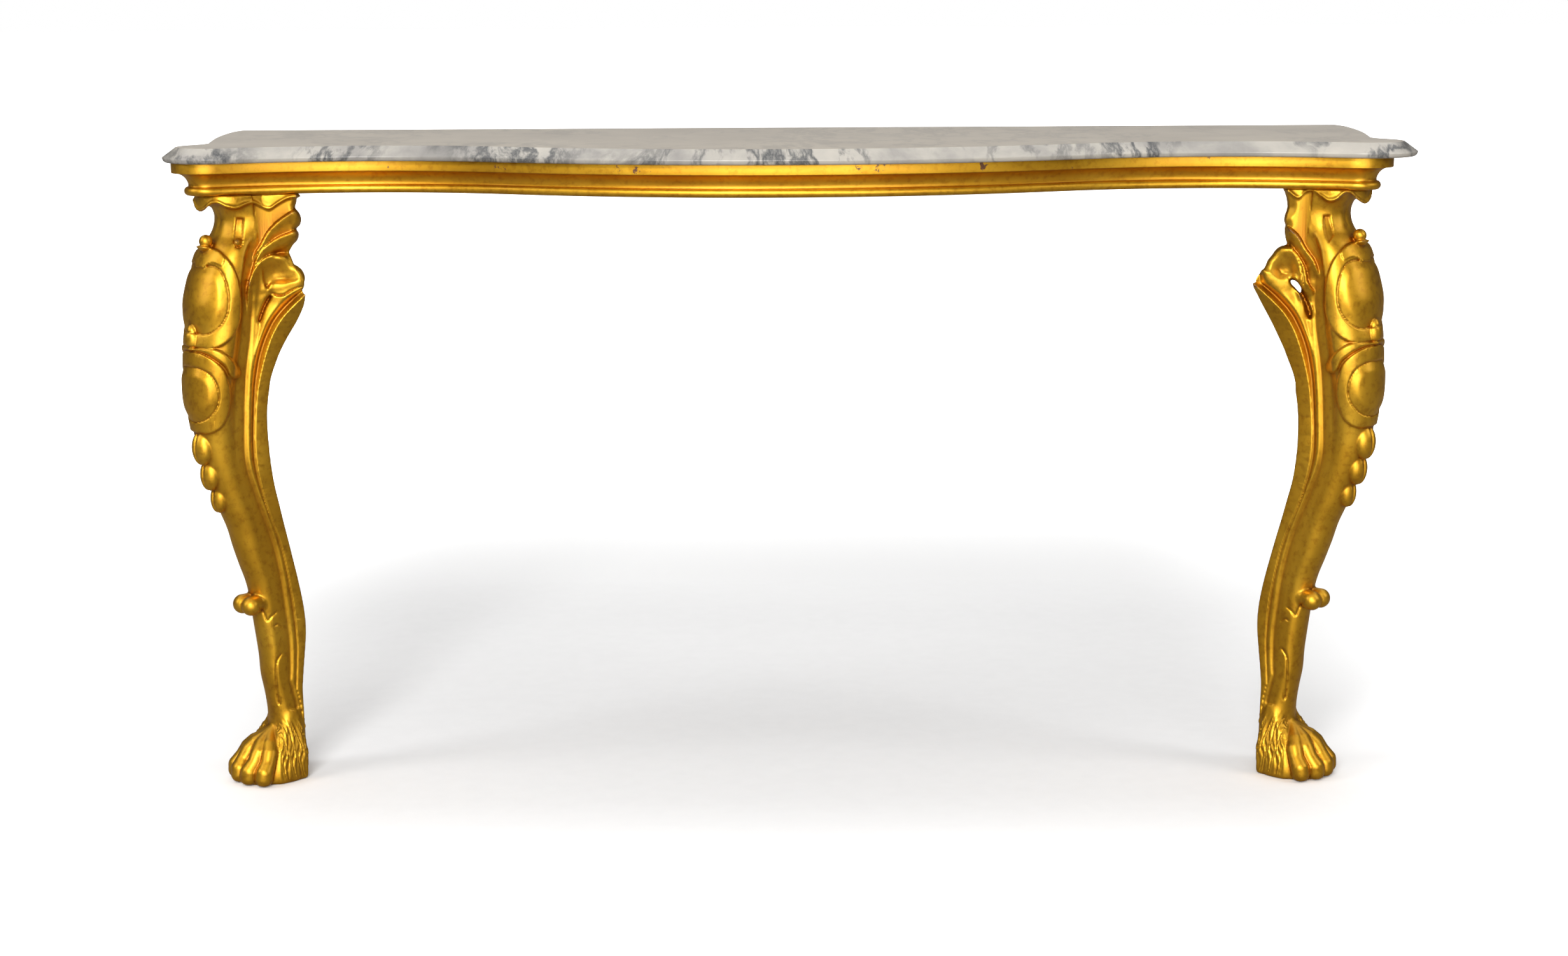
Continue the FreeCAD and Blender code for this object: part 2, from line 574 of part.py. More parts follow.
def ear_dowels():
    """Dowels that pin the right leg's two ears to its post."""
    face = LEG_REACH + POST_OUTER
    middle_x = POST_MIDDLE[0] - EAR_DOWEL_LENGTH
    start = face - EAR_DOWEL_LENGTH / 2
    dowels = []
    for depth in EAR_DOWEL_DEPTHS:
        pin = cylinder(EAR_DOWEL_RADIUS, EAR_DOWEL_LENGTH, at(middle_x, start, LEG_HEIGHT - depth),
                       Vector(0, -1, 0))
        dowels += [pin, swapped(pin)]
    return dowels


def leg_bolt():
    """The right leg's hanger bolt, from the post up through the corner block."""
    top = FRAME_TOP - COUNTERBORE_CLEARANCE
    bottom = LEG_HEIGHT - BOLT_IN_POST
    return cylinder(BOLT_RADIUS, top - bottom, at(*POST_MIDDLE, bottom), Vector(0, 0, 1))


def leg_washer():
    seat = FRAME_TOP - COUNTERBORE_DEPTH
    ring = cylinder(WASHER_RADIUS, WASHER_THICKNESS, at(*POST_MIDDLE, seat), Vector(0, 0, 1))
    return ring.cut(cylinder(BOLT_RADIUS, WASHER_THICKNESS, at(*POST_MIDDLE, seat), Vector(0, 0, 1)))


def leg_nut():
    seat = FRAME_TOP - COUNTERBORE_DEPTH + WASHER_THICKNESS
    corner = NUT_ACROSS / math.sqrt(3)
    ring = [at(POST_MIDDLE[0] + corner * math.cos(math.radians(60 * i)),
               POST_MIDDLE[1] + corner * math.sin(math.radians(60 * i)), seat) for i in range(7)]
    hexagon = Part.Face(Part.makePolygon(ring)).extrude(Vector(0, 0, NUT_HEIGHT))
    return hexagon.cut(cylinder(BOLT_RADIUS, NUT_HEIGHT, at(*POST_MIDDLE, seat), Vector(0, 0, 1)))


def save(name, shape):
    """Write one piece, or a group of like pieces, lowered to the wall screws' line."""
    placed = shape.copy()
    placed.translate(Vector(0, 0, -SCREW_LINE))
    placed.exportStep(f"parts/{name}.step")


def both(shapes):
    """A group of pieces on the right, with their mirror images on the left."""
    return Part.makeCompound(list(shapes) + [mirrored(shape) for shape in shapes])


def build():
    os.makedirs("parts", exist_ok=True)

    # The slab.
    marble = edge_strip(marble_profile()).fuse(
        slab(MARBLE_OVERHANG - EDGE_DEPTH + STRIP_LAP, FRAME_TOP, MARBLE_TOP)).removeSplitter()
    marble.translate(Vector(SLAB_SHIFT, 0, 0))
    save("marble_top", marble)

    # Fixings and pads that the wooden pieces are cut for.
    dowels_right = rail_dowels()
    dowels = dowels_right + [mirrored(dowel) for dowel in dowels_right]
    rear_screws, pockets = rear_block_screws()
    rear = rear_block().cut(rear_screws + pockets)
    all_rear_screws = rear_screws + [mirrored(shape) for shape in rear_screws]
    battens = [batten(x) for x in BATTEN_PLACES]
    batten_screws = []
    for x in BATTEN_PLACES:
        for reach in (BACK_RAIL_THICKNESS - BATTEN_SEAT / 2, batten_front(x) + BATTEN_SEAT / 2):
            batten_screws.append(screw(BATTEN_SCREW_LENGTH, at(x, reach, FRAME_TOP), Vector(0, 0, -1)))
    pads = [cylinder(PAD_RADIUS, PAD_THICKNESS, at(*place, FRAME_TOP - PAD_THICKNESS), Vector(0, 0, 1))
            for place in pad_places()]

    # The frame: four rails round the slab's underside.
    block = corner_block()
    blocks = [block, mirrored(block)]
    solid_block = box(BLOCK_X, BLOCK_REACH, (LEG_HEIGHT, FRAME_TOP))
    core = slab(STRIP_LAP - STRIP_DEPTH, LEG_HEIGHT, FRAME_TOP).cut(opening())
    ring = edge_strip(frame_profile()).fuse(core).removeSplitter()
    back_zone = box((-SIDE_RAIL_INNER, SIDE_RAIL_INNER), (0.0, BACK_RAIL_THICKNESS), (LEG_HEIGHT, FRAME_TOP))
    ring = ring.cut([solid_block, mirrored(solid_block), back_zone])
    apex = (0.0, LOBE[1] - LOBE[0])
    front_zone = zone((apex, (FAR, apex[1] + FAR), (-FAR, apex[1] + FAR)))
    right_zone = zone((apex, (FAR, apex[1] + FAR), (FAR, apex[1])))
    drilled = dowels + all_rear_screws + battens + batten_screws + pads
    front_rail = ring.common(front_zone).cut(drilled)
    right_rail = ring.common(right_zone).cut(drilled)
    holes = [cylinder(WALL_HOLE_RADIUS, BACK_RAIL_THICKNESS, at(x, 0.0, SCREW_LINE), Vector(0, -1, 0))
             for x in WALL_HOLE_PLACES]
    back_rail = back_zone.cut(drilled + holes)
    save("front_rail", front_rail)
    save("right_side_rail", right_rail)
    save("left_side_rail", mirrored(right_rail))
    save("back_rail", back_rail)

    # Blocks, battens and pads.
    save("right_front_block", blocks[0].cut(dowels))
    save("left_front_block", blocks[1].cut(dowels))
    save("right_rear_block", rear)
    save("left_rear_block", mirrored(rear))
    for name, piece in zip(("left_batten", "middle_batten", "right_batten"), battens):
        save(name, piece.cut(batten_screws + pads))
    save("marble_pads", Part.makeCompound(pads))

    # Legs and ears.
    leg = right_leg()
    save("right_leg", leg)
    save("left_leg", mirrored(leg))
    pins = ear_dowels()
    front = front_ear()
    side = swapped(front)
    save("right_front_ear", front)
    save("right_side_ear", side)
    save("left_front_ear", mirrored(front))
    save("left_side_ear", mirrored(side))

    # Fixings.
    save("rail_dowels", Part.makeCompound(dowels))
    save("rear_block_screws", Part.makeCompound(all_rear_screws))
    save("batten_screws", Part.makeCompound(batten_screws))
    save("ear_dowels", both(pins))
    save("leg_bolts", both([leg_bolt()]))
    save("leg_washers", both([leg_washer()]))
    save("leg_nuts", both([leg_nut()]))


build()
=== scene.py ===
import math

import bmesh
import bpy
import numpy as np
import openvdb
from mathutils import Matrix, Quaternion, Vector


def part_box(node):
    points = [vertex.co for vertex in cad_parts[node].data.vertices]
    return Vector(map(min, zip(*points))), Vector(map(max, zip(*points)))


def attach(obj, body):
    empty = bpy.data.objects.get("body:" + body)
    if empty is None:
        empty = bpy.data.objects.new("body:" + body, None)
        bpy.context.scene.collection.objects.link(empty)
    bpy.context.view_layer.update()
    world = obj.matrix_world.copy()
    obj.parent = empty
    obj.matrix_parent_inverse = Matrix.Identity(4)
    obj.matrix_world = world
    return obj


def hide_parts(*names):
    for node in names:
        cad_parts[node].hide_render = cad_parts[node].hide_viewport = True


# Looks of the pier table: a bevelled marble slab on a gilded frame, carried by two carved and
# gilded cabriole legs. Blender's units are metres. Everything carved is worked out in millimetres,
# in the leg's own directions, with heights from the floor and reach out from the wall.

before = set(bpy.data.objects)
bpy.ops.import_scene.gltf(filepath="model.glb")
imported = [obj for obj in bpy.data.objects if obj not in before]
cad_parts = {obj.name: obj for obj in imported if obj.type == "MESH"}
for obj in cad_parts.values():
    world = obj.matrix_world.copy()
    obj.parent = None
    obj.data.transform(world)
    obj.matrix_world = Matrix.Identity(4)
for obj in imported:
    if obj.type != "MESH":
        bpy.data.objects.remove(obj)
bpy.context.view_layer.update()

MM = 0.001


def box_mm(node):
    """A node's lowest and highest corner in millimetres."""
    low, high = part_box(node)
    return low / MM, high / MM


# ---------------------------------------------------------------- places taken from the frame
RAIL_LOW, RAIL_HIGH = box_mm("front_rail")
LEG_LOW, _ = box_mm("right_leg")
BLOCK_LOW, BLOCK_HIGH = box_mm("right_front_block")
_, BACK_HIGH = box_mm("back_rail")
SLAB_LOW, SLAB_HIGH = box_mm("marble_top")
FLOOR_Z = LEG_LOW.z
FRAME_UNDER = RAIL_LOW.z
FRAME_TOP = RAIL_HIGH.z
LEG_HEIGHT = FRAME_UNDER - FLOOR_Z
BLOCK_TO_LEG = 2.0           # corner block's outer faces to the leg's reference line
LEG_X = BLOCK_HIGH.x + BLOCK_TO_LEG
LEG_REACH = -BLOCK_LOW.y + BLOCK_TO_LEG
SIDE_RAIL_INNER = BACK_HIGH.x

# ---------------------------------------------------------------- plan of the frame's top fillet
HALF_WIDTH = 808.0
FRAME_REACH = -RAIL_LOW.y
BOW_DEPTH = 120.0
CORNER_RISE = 50.0
HOLLOW_X = 550.0
LOBE_RADIUS = 46.0
WAIST_DEPTH = 28.0
WAIST_BACK = 75.0
FLARE_WIDTH = 24.0
FLARE_REACH = 45.0
TAIL_RADIUS = 150.0
LOBE = (HALF_WIDTH - LOBE_RADIUS, FRAME_REACH - BOW_DEPTH + CORNER_RISE - LOBE_RADIUS)
FRONT_RAIL_WIDTH = 70.0
STATION_STEP = 5.0           # spacing of sections along the plan

# ---------------------------------------------------------------- marble slab
SLAB_OVERHANG = 20.0
SLAB_SHIFT = (SLAB_LOW.x + SLAB_HIGH.x) / 2
BEVEL_WIDTH = 18.0
NOSE_HEIGHT = 6.0
UNDERCUT = 7.0
ARRIS_RADIUS = 1.6           # worn arrises of the marble's edge

# ---------------------------------------------------------------- camera
CAMERA_REACH = 3850.0
CAMERA_HEIGHT = 1088.5
CAMERA_PITCH = 10.75         # degrees below level
CAMERA_ROLL = -0.3
LENS = 59.9
SENSOR = 36.0


# ================================================================ materials
# What a pattern's features measure, in mm.
LEAF_LAP = 111.11
LEAF_MOTTLE = 8.3333
GESSO_GRIT = 2.381           # coarser than the real grit, so that it shows
RUBBED_PATCH = 26.316
CHIP_SPACING = 38.462
STONE_DRIFT = 200.0
STONE_CLOUD = 125.0
VEIN_SPACING = 125.0
VEIN_PATCH = 142.86
PINE_GRAIN = 6.25
PINE_STREAK = 142.86
FELT_FIBRE = 1.1111          # coarser than real wool, so that it shows
ZINC_BLOTCH = 2.381
PAPER_CLOUD = 25.0

# Settings that several nodes share.
COLOURS = {"data_type": "RGBA"}
COLOURS_DARKENED = {"data_type": "RGBA", "blend_type": "MULTIPLY"}
EASED = {"interpolation_type": "SMOOTHSTEP"}
PRODUCT = {"operation": "MULTIPLY"}
PRODUCT_PLUS = {"operation": "MULTIPLY_ADD"}


def linear(hex_colour):
    """An sRGB hex value as linear RGBA."""
    channels = [int(hex_colour[i:i + 2], 16) / 255 for i in (1, 3, 5)]
    curve = [c / 12.92 if c <= 0.04045 else ((c + 0.055) / 1.055) ** 2.4 for c in channels]
    return (*curve, 1.0)


def features(size):
    """The scale at which a pattern's features measure about this many millimetres."""
    return 1 / (size * MM)


def new_material(name):
    """A material with its Principled shader; returns the material and the shader."""
    material = bpy.data.materials.new(name)
    material.use_nodes = True
    return material, material.node_tree.nodes["Principled BSDF"]


def plug(owner, made, **sockets):
    """Fill a node's sockets: socket=value, or socket=(other node, its output's name or place).

    A space in a socket's name is written _, and i with a number stands for the socket's place.
    """
    for name, value in sockets.items():
        socket = made.inputs[int(name[1:]) if name[1:].isdigit() else name.replace("_", " ")]
        if isinstance(value, tuple) and isinstance(value[0], bpy.types.Node):
            owner.node_tree.links.new(value[0].outputs[value[1]], socket)
        else:
            socket.default_value = value


def node(owner, kind, settings=None, stops=(), **sockets):
    """Add a node with its settings, its sockets and, on a ramp, its (place, sRGB hex) stops."""
    made = owner.node_tree.nodes.new(kind)
    for key, value in (settings or {}).items():
        setattr(made, key, value)
    plug(owner, made, **sockets)
    elements = made.color_ramp.elements if stops else []
    while len(elements) < len(stops):
        elements.new(0.5)
    for element, (place, colour) in zip(elements, stops):
        element.position = place
        element.color = linear(colour)
    return made


def gold_leaf():
    """Water-gilded wood: gold leaf over red bole and gesso, burnished, then toned and rubbed.

    It gives a warm satin metal with faint leaf laps, painted shade that darkens the hollows towards
    orange-brown, red bole rubbed through on the high edges, and small chips in the gesso, most of them on
    the fillet that the slab knocks.
    """
    material, shader = new_material("water_gilded_wood")
    place = (node(material, "ShaderNodeTexCoord"), "Object")
    painted_shade_and_rubbing = (node(material, "ShaderNodeAttribute", {"attribute_name": "painted_shade_and_rubbing"}), "Fac")
    laps = node(material, "ShaderNodeTexNoise", Vector=place, Scale=features(LEAF_LAP), Detail=4.0,
                Roughness=0.6)
    mottle = node(material, "ShaderNodeTexNoise", Vector=place, Scale=features(LEAF_MOTTLE), Detail=5.0,
                  Roughness=0.65)
    grit = node(material, "ShaderNodeTexNoise", Vector=place, Scale=features(GESSO_GRIT), Detail=3.0)
    base = node(material, "ShaderNodeValToRGB", Fac=(laps, "Fac"),
                stops=[(0.3, "#BF8C1E"), (0.5, "#CB9824"), (0.72, "#D6A62F")])
    tone = node(material, "ShaderNodeValToRGB", Fac=(mottle, "Fac"),
                stops=[(0.34, "#B98A3A"), (0.5, "#FFFFFF"), (1.0, "#FFFFFF")])
    leaf = node(material, "ShaderNodeMix", COLOURS_DARKENED, i0=0.35, i6=(base, "Color"), i7=(tone, "Color"))
    # Painted shade: the hollower a place, the more the leaf is mixed towards a dark orange-brown.
    painted_hollow_shade = node(material, "ShaderNodeMapRange", Value=painted_shade_and_rubbing, From_Min=-0.1, From_Max=-1.3)
    leaf_with_painted_shade = node(material, "ShaderNodeMix", COLOURS, i0=(painted_hollow_shade, "Result"), i6=(leaf, 2), i7=linear("#A0660E"))

    patches = node(material, "ShaderNodeTexNoise", Vector=place, Scale=features(RUBBED_PATCH), Detail=6.0,
                   Roughness=0.7)
    proud = node(material, "ShaderNodeMapRange", Value=painted_shade_and_rubbing, From_Min=0.9, From_Max=2.4)
    rub = node(material, "ShaderNodeMath", PRODUCT, i0=(proud, "Result"), i1=(patches, "Fac"))
    rubbed = node(material, "ShaderNodeMapRange", Value=(rub, 0), From_Min=0.42, From_Max=0.6)

    chip_noise = node(material, "ShaderNodeTexNoise", Vector=place, Scale=features(CHIP_SPACING), Detail=8.0,
                      Roughness=0.72)
    apart = node(material, "ShaderNodeSeparateXYZ", Vector=place)
    knocked = node(material, "ShaderNodeMapRange", EASED, Value=(apart, "Z"), From_Min=0.006, From_Max=0.012)
    chipping = node(material, "ShaderNodeMath", PRODUCT_PLUS, i0=(knocked, "Result"), i1=0.085,
                    i2=(chip_noise, "Fac"))
    chips = node(material, "ShaderNodeMapRange", Value=(chipping, "Value"), From_Min=0.7, From_Max=0.715)
    worn = node(material, "ShaderNodeMath", {"operation": "MAXIMUM", "use_clamp": True},
                i0=(rubbed, "Result"), i1=(chips, "Result"))
    colour = node(material, "ShaderNodeMix", COLOURS, i0=(worn, 0), i6=(leaf_with_painted_shade, 2), i7=linear("#5C3210"))
    metal = node(material, "ShaderNodeMath", PRODUCT_PLUS, i0=(worn, 0), i1=-0.85, i2=1.0)
    satin = node(material, "ShaderNodeMapRange", Value=(mottle, "Fac"), To_Min=0.36, To_Max=0.54)
    height = node(material, "ShaderNodeMath", PRODUCT_PLUS, i0=(grit, "Fac"), i1=0.35, i2=(mottle, "Fac"))
    bump = node(material, "ShaderNodeBump", Height=(height, 0), Strength=0.22, Distance=0.0006)
    plug(material, shader, Base_Color=(colour, 2), Metallic=(metal, 0), Roughness=(satin, "Result"),
         Normal=(bump, "Normal"), Coat_Weight=0.2, Coat_Roughness=0.3)
    return material


def marble():
    """White Carrara marble, sawn and polished.

    It gives a warm grey-white stone with soft grey clouds and thin slanting darker veins. Its top is
    painted warm beige, a painted reflection that also mutes the veins there, so they show most on the edge.
    """
    material, shader = new_material("carrara_marble")
    place = (node(material, "ShaderNodeTexCoord"), "Object")
    warp = node(material, "ShaderNodeTexNoise", Vector=place, Scale=features(STONE_DRIFT), Detail=4.0)
    bent = node(material, "ShaderNodeMix", {"data_type": "RGBA", "blend_type": "LINEAR_LIGHT"},
                i0=0.06, i6=place, i7=(warp, "Color"))
    slant = node(material, "ShaderNodeMapping", Vector=(bent, 2), Rotation=(0.0, 1.1, 0.5),
                 Scale=(2.4, 1.0, 1.0))
    cloud = node(material, "ShaderNodeTexNoise", Vector=(bent, 2), Scale=features(STONE_CLOUD), Detail=8.0,
                 Roughness=0.6)
    vein = node(material, "ShaderNodeTexNoise", Vector=(slant, "Vector"), Scale=features(VEIN_SPACING),
                Detail=7.0, Roughness=0.62)
    off_middle = node(material, "ShaderNodeMath", {"operation": "SUBTRACT"}, i0=(vein, "Fac"), i1=0.5)
    off_vein = node(material, "ShaderNodeMath", {"operation": "ABSOLUTE"}, i0=(off_middle, 0))
    stone = node(material, "ShaderNodeValToRGB", Fac=(cloud, "Fac"),
                 stops=[(0.3, "#7E7B77"), (0.43, "#96928C"), (0.54, "#AAA59C"), (0.7, "#B9B3A8")])
    veins = node(material, "ShaderNodeValToRGB", Fac=(off_vein, 0),
                 stops=[(0.0, "#787C84"), (0.016, "#A4A8AD"), (0.06, "#FFFFFF")])
    patch = node(material, "ShaderNodeTexNoise", Vector=place, Scale=features(VEIN_PATCH), Detail=3.0)
    strength = node(material, "ShaderNodeMapRange", Value=(patch, "Fac"), From_Min=0.38, From_Max=0.58)
    facing = node(material, "ShaderNodeNewGeometry")
    upward = node(material, "ShaderNodeSeparateXYZ", Vector=(facing, "Normal"))
    # Painted reflection: faces that look up are tinted warm beige, and their veins are fainter.
    side_facing = node(material, "ShaderNodeMapRange", Value=(upward, "Z"), From_Min=0.85, From_Max=0.98,
                  To_Min=1.0, To_Max=0.3)
    shown = node(material, "ShaderNodeMath", PRODUCT, i0=(strength, "Result"), i1=(side_facing, "Result"))
    clear = node(material, "ShaderNodeMix", COLOURS, i0=(side_facing, "Result"), i6=linear("#B5A893"),
                 i7=(stone, "Color"))
    colour = node(material, "ShaderNodeMix", COLOURS_DARKENED, i0=(shown, 0), i6=(clear, 2),
                  i7=(veins, "Color"))
    plug(material, shader, Base_Color=(colour, 2), Roughness=0.3, IOR=1.5)
    return material


def bare_pine(name, along):
    """Planed pine, never finished, browned with age; along is the grain's direction, 0 X, 1 Y, 2 Z.

    It gives a matt brown wood with long grain streaks and a few dark pores.
    """
    material, shader = new_material(name)
    place = (node(material, "ShaderNodeTexCoord"), "Object")
    stretch = [features(PINE_GRAIN)] * 3
    stretch[along] = features(PINE_STREAK)
    grain_space = node(material, "ShaderNodeMapping", Vector=place, Scale=stretch)
    grain = node(material, "ShaderNodeTexNoise", Vector=(grain_space, "Vector"), Scale=1.0, Detail=5.0,
                 Roughness=0.6, Distortion=0.6)
    colour = node(material, "ShaderNodeValToRGB", Fac=(grain, "Fac"),
                  stops=[(0.3, "#6B4A2B"), (0.5, "#93693F"), (0.72, "#AE8453")])
    bump = node(material, "ShaderNodeBump", Height=(grain, "Fac"), Strength=0.25, Distance=0.0005)
    plug(material, shader, Base_Color=(colour, "Color"), Normal=(bump, "Normal"), Roughness=0.75)
    return material


def felt():
    """Pressed wool felt under the slab: matt brown, with short stray fibres."""
    material, shader = new_material("wool_felt")
    place = (node(material, "ShaderNodeTexCoord"), "Object")
    fibre = node(material, "ShaderNodeTexNoise", Vector=place, Scale=features(FELT_FIBRE), Detail=4.0)
    colour = node(material, "ShaderNodeValToRGB", Fac=(fibre, "Fac"),
                  stops=[(0.35, "#3A2E26"), (0.65, "#5A493C")])
    bump = node(material, "ShaderNodeBump", Height=(fibre, "Fac"), Strength=0.5, Distance=0.0005)
    plug(material, shader, Base_Color=(colour, "Color"), Normal=(bump, "Normal"), Roughness=0.95)
    return material


def zinc_steel():
    """Zinc-plated steel of the screws, bolts, washers and nuts: grey, with faint crystal blotches."""
    material, shader = new_material("zinc_plated_steel")
    place = (node(material, "ShaderNodeTexCoord"), "Object")
    blotch = node(material, "ShaderNodeTexVoronoi", Vector=place, Scale=features(ZINC_BLOTCH))
    colour = node(material, "ShaderNodeValToRGB", Fac=(blotch, "Distance"),
                  stops=[(0.2, "#8C8F92"), (0.8, "#B5B8BA")])
    dull = node(material, "ShaderNodeMapRange", Value=(blotch, "Distance"), To_Min=0.3, To_Max=0.5)
    plug(material, shader, Base_Color=(colour, "Color"), Roughness=(dull, "Result"), Metallic=1.0)
    return material


def studio_floor():
    """Matt white paper, lit to a clean white all round the table."""
    material, shader = new_material("white_paper")
    place = (node(material, "ShaderNodeTexCoord"), "Object")
    cloud = node(material, "ShaderNodeTexNoise", Vector=place, Scale=features(PAPER_CLOUD), Detail=3.0)
    paper = node(material, "ShaderNodeValToRGB", Fac=(cloud, "Fac"),
                 stops=[(0.3, "#F3F3F3"), (0.7, "#F5F5F5")])
    apart = node(material, "ShaderNodeSeparateXYZ", Vector=place)
    sideways = node(material, "ShaderNodeMath", {"operation": "ABSOLUTE"}, i0=(apart, "X"))
    nearer = node(material, "ShaderNodeMath", PRODUCT, i0=(apart, "Y"), i1=-1.0)
    ends = node(material, "ShaderNodeMapRange", EASED, Value=(sideways, "Value"), From_Min=0.6, From_Max=1.6)
    behind = node(material, "ShaderNodeMapRange", EASED, Value=(apart, "Y"), From_Min=0.5, From_Max=2.5)
    ahead = node(material, "ShaderNodeMapRange", EASED, Value=(nearer, "Value"), From_Min=0.42, From_Max=1.4)
    across = node(material, "ShaderNodeMath", {"operation": "MAXIMUM"}, i0=(behind, "Result"),
                  i1=(ahead, "Result"))
    far = node(material, "ShaderNodeMath", {"operation": "ADD"}, i0=(ends, "Result"), i1=(across, "Value"))
    seen = (node(material, "ShaderNodeLightPath"), "Is Camera Ray")
    colour = node(material, "ShaderNodeMix", COLOURS, i0=seen, i6=linear("#8E8A84"), i7=(paper, "Color"))
    glow = node(material, "ShaderNodeMath", PRODUCT, i0=(far, "Value"), i1=seen)
    plug(material, shader, Base_Color=(colour, 2), Emission_Strength=(glow, 0),
         Emission_Color=linear("#FFFFFF"), Roughness=0.9)
    return material


GOLD = gold_leaf()
MARBLE = marble()
PINE_ALONG_X = bare_pine("bare_pine_long_way", 0)
PINE_ALONG_Y = bare_pine("bare_pine_deep_way", 1)
PINE_UPRIGHT = bare_pine("bare_pine_upright", 2)
FELT = felt()
STEEL = zinc_steel()


# ================================================================ meshes
def show(name, data):
    """An object of a mesh, a lamp or a camera, put in the scene."""
    made = bpy.data.objects.new(name, data)
    bpy.context.scene.collection.objects.link(made)
    return made


def add_object(name, vertices, faces, materials):
    """An object whose place is in its mesh, from vertices in millimetres."""
    mesh = bpy.data.meshes.new(name)
    mesh.from_pydata([Vector(v) * MM for v in vertices], [], faces)
    for material in materials:
        mesh.materials.append(material)
    return show(name, mesh)


def put(made, slot, *nodes):
    """Ride the one body and stand for the CAD nodes, which it hides; slot is not used."""
    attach(made, "root")
    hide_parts(*nodes)
    return made


# ================================================================ plan outline
class Bend:
    """One round stretch of the plan outline; outward is +1 where it bulges out of the table."""

    def __init__(self, centre, radius, outward, start, end):
        self.centre = centre
        self.radius = radius
        self.outward = outward
        self.start = start
        self.end = end

    def point(self, angle, offset=0.0):
        """(x, reach) at an angle counted from straight out into the room towards +X."""
        radius = self.radius + offset * self.outward
        return (self.centre[0] + self.outward * radius * math.sin(angle),
                self.centre[1] + self.outward * radius * math.cos(angle))


def half_outline():
    """The right half of the plan: bow, hollow, corner lobe, waist, flare and tail."""
    fall = HOLLOW_X ** 2 + BOW_DEPTH ** 2
    both_radii = fall / (2 * BOW_DEPTH)
    run = LOBE[0] - HOLLOW_X
    hollow_radius = (run ** 2 + CORNER_RISE ** 2) / (2 * CORNER_RISE) - LOBE_RADIUS
    bow_radius = both_radii - hollow_radius
    bow_turn = math.asin(HOLLOW_X / both_radii)
    bow = Bend((0.0, FRAME_REACH - bow_radius), bow_radius, 1, 0.0, bow_turn)
    lobe_turn = math.asin(run / (hollow_radius + LOBE_RADIUS))
    hollow = Bend((HOLLOW_X, FRAME_REACH - BOW_DEPTH + hollow_radius), hollow_radius, -1,
                  bow_turn, -lobe_turn)

    inward = LOBE_RADIUS - WAIST_DEPTH
    waist_radius = (inward ** 2 + WAIST_BACK ** 2 - LOBE_RADIUS ** 2) / (2 * WAIST_DEPTH)
    waist_turn = math.asin(WAIST_BACK / (LOBE_RADIUS + waist_radius))
    waist_reach = LOBE[1] - WAIST_BACK
    lobe = Bend(LOBE, LOBE_RADIUS, 1, -lobe_turn, math.pi / 2 + waist_turn)
    run_back = waist_reach - FLARE_REACH
    both_radii = (FLARE_WIDTH ** 2 + run_back ** 2) / (2 * FLARE_WIDTH)
    flare_radius = both_radii - waist_radius
    flare_turn = math.asin(run_back / both_radii)
    waist = Bend((HALF_WIDTH - WAIST_DEPTH + waist_radius, waist_reach), waist_radius, -1,
                 math.pi / 2 + waist_turn, math.pi / 2 - flare_turn)
    flare_x = HALF_WIDTH - WAIST_DEPTH + FLARE_WIDTH
    flare = Bend((flare_x - flare_radius, FLARE_REACH), flare_radius, 1,
                 math.pi / 2 - flare_turn, math.pi / 2)
    tail = Bend((flare_x - TAIL_RADIUS, FLARE_REACH), TAIL_RADIUS, 1, math.pi / 2,
                math.pi / 2 + math.asin(FLARE_REACH / TAIL_RADIUS))
    return [bow, hollow, lobe, waist, flare, tail]


HALF = half_outline()


def stations(bends):
    """Evenly spaced (bend, angle) places along some bends."""
    places = []
    for bend in bends:
        steps = max(2, round(abs(bend.end - bend.start) * bend.radius / STATION_STEP))
        angles = np.linspace(bend.start, bend.end, steps, endpoint=False)
        places += [(bend, float(angle)) for angle in angles]
    places.append((bends[-1], bends[-1].end))
    return places


def arc(centre, radius, start, end, steps):
    """Points of a round stretch of a profile, in (offset, height); angles in degrees."""
    turns = np.radians(np.linspace(start, end, steps))
    return [(centre[0] + radius * math.cos(t), centre[1] + radius * math.sin(t)) for t in turns]


def section_point(place, offset, z):
    """A profile point at one station, kept on the room's side of the wall."""
    bend, angle = place
    x, reach = bend.point(angle, offset)
    return (x, -max(reach, 0.0), z)


def at_wall(place, offset):
    """How far out the tail's curve, at an offset, meets the wall."""
    bend = place[0]
    radius = bend.radius + offset
    return bend.centre[0] + math.sqrt(radius ** 2 - bend.centre[1] ** 2)


def mirrored_ring(points):
    """The left half of a ring of sections, from the right half's."""
    return [[(-x, y, z) for x, y, z in section] for section in points]


# ================================================================ marble slab
def slab_profile():
    """The slab's edge from its top face round the nose to its underside, in (offset, height)."""
    top = SLAB_HIGH.z
    bottom = SLAB_LOW.z
    nose = SLAB_OVERHANG
    slope = math.degrees(math.atan2(top - bottom - NOSE_HEIGHT, BEVEL_WIDTH))
    bevel_top = (nose - BEVEL_WIDTH, top)
    tangent = ARRIS_RADIUS * math.tan(math.radians(slope / 2))
    upper = arc((bevel_top[0] - tangent, top - ARRIS_RADIUS), ARRIS_RADIUS, 90, 90 - slope, 5)
    nose_centre = (nose - ARRIS_RADIUS, bottom + NOSE_HEIGHT)
    lower = arc(nose_centre, ARRIS_RADIUS, 90 - slope, -20, 6)
    under = [(nose - UNDERCUT * (1 - math.cos(t)), bottom + NOSE_HEIGHT * (1 - math.sin(t)))
             for t in np.radians([38, 55, 72, 90])]
    return upper + lower + under


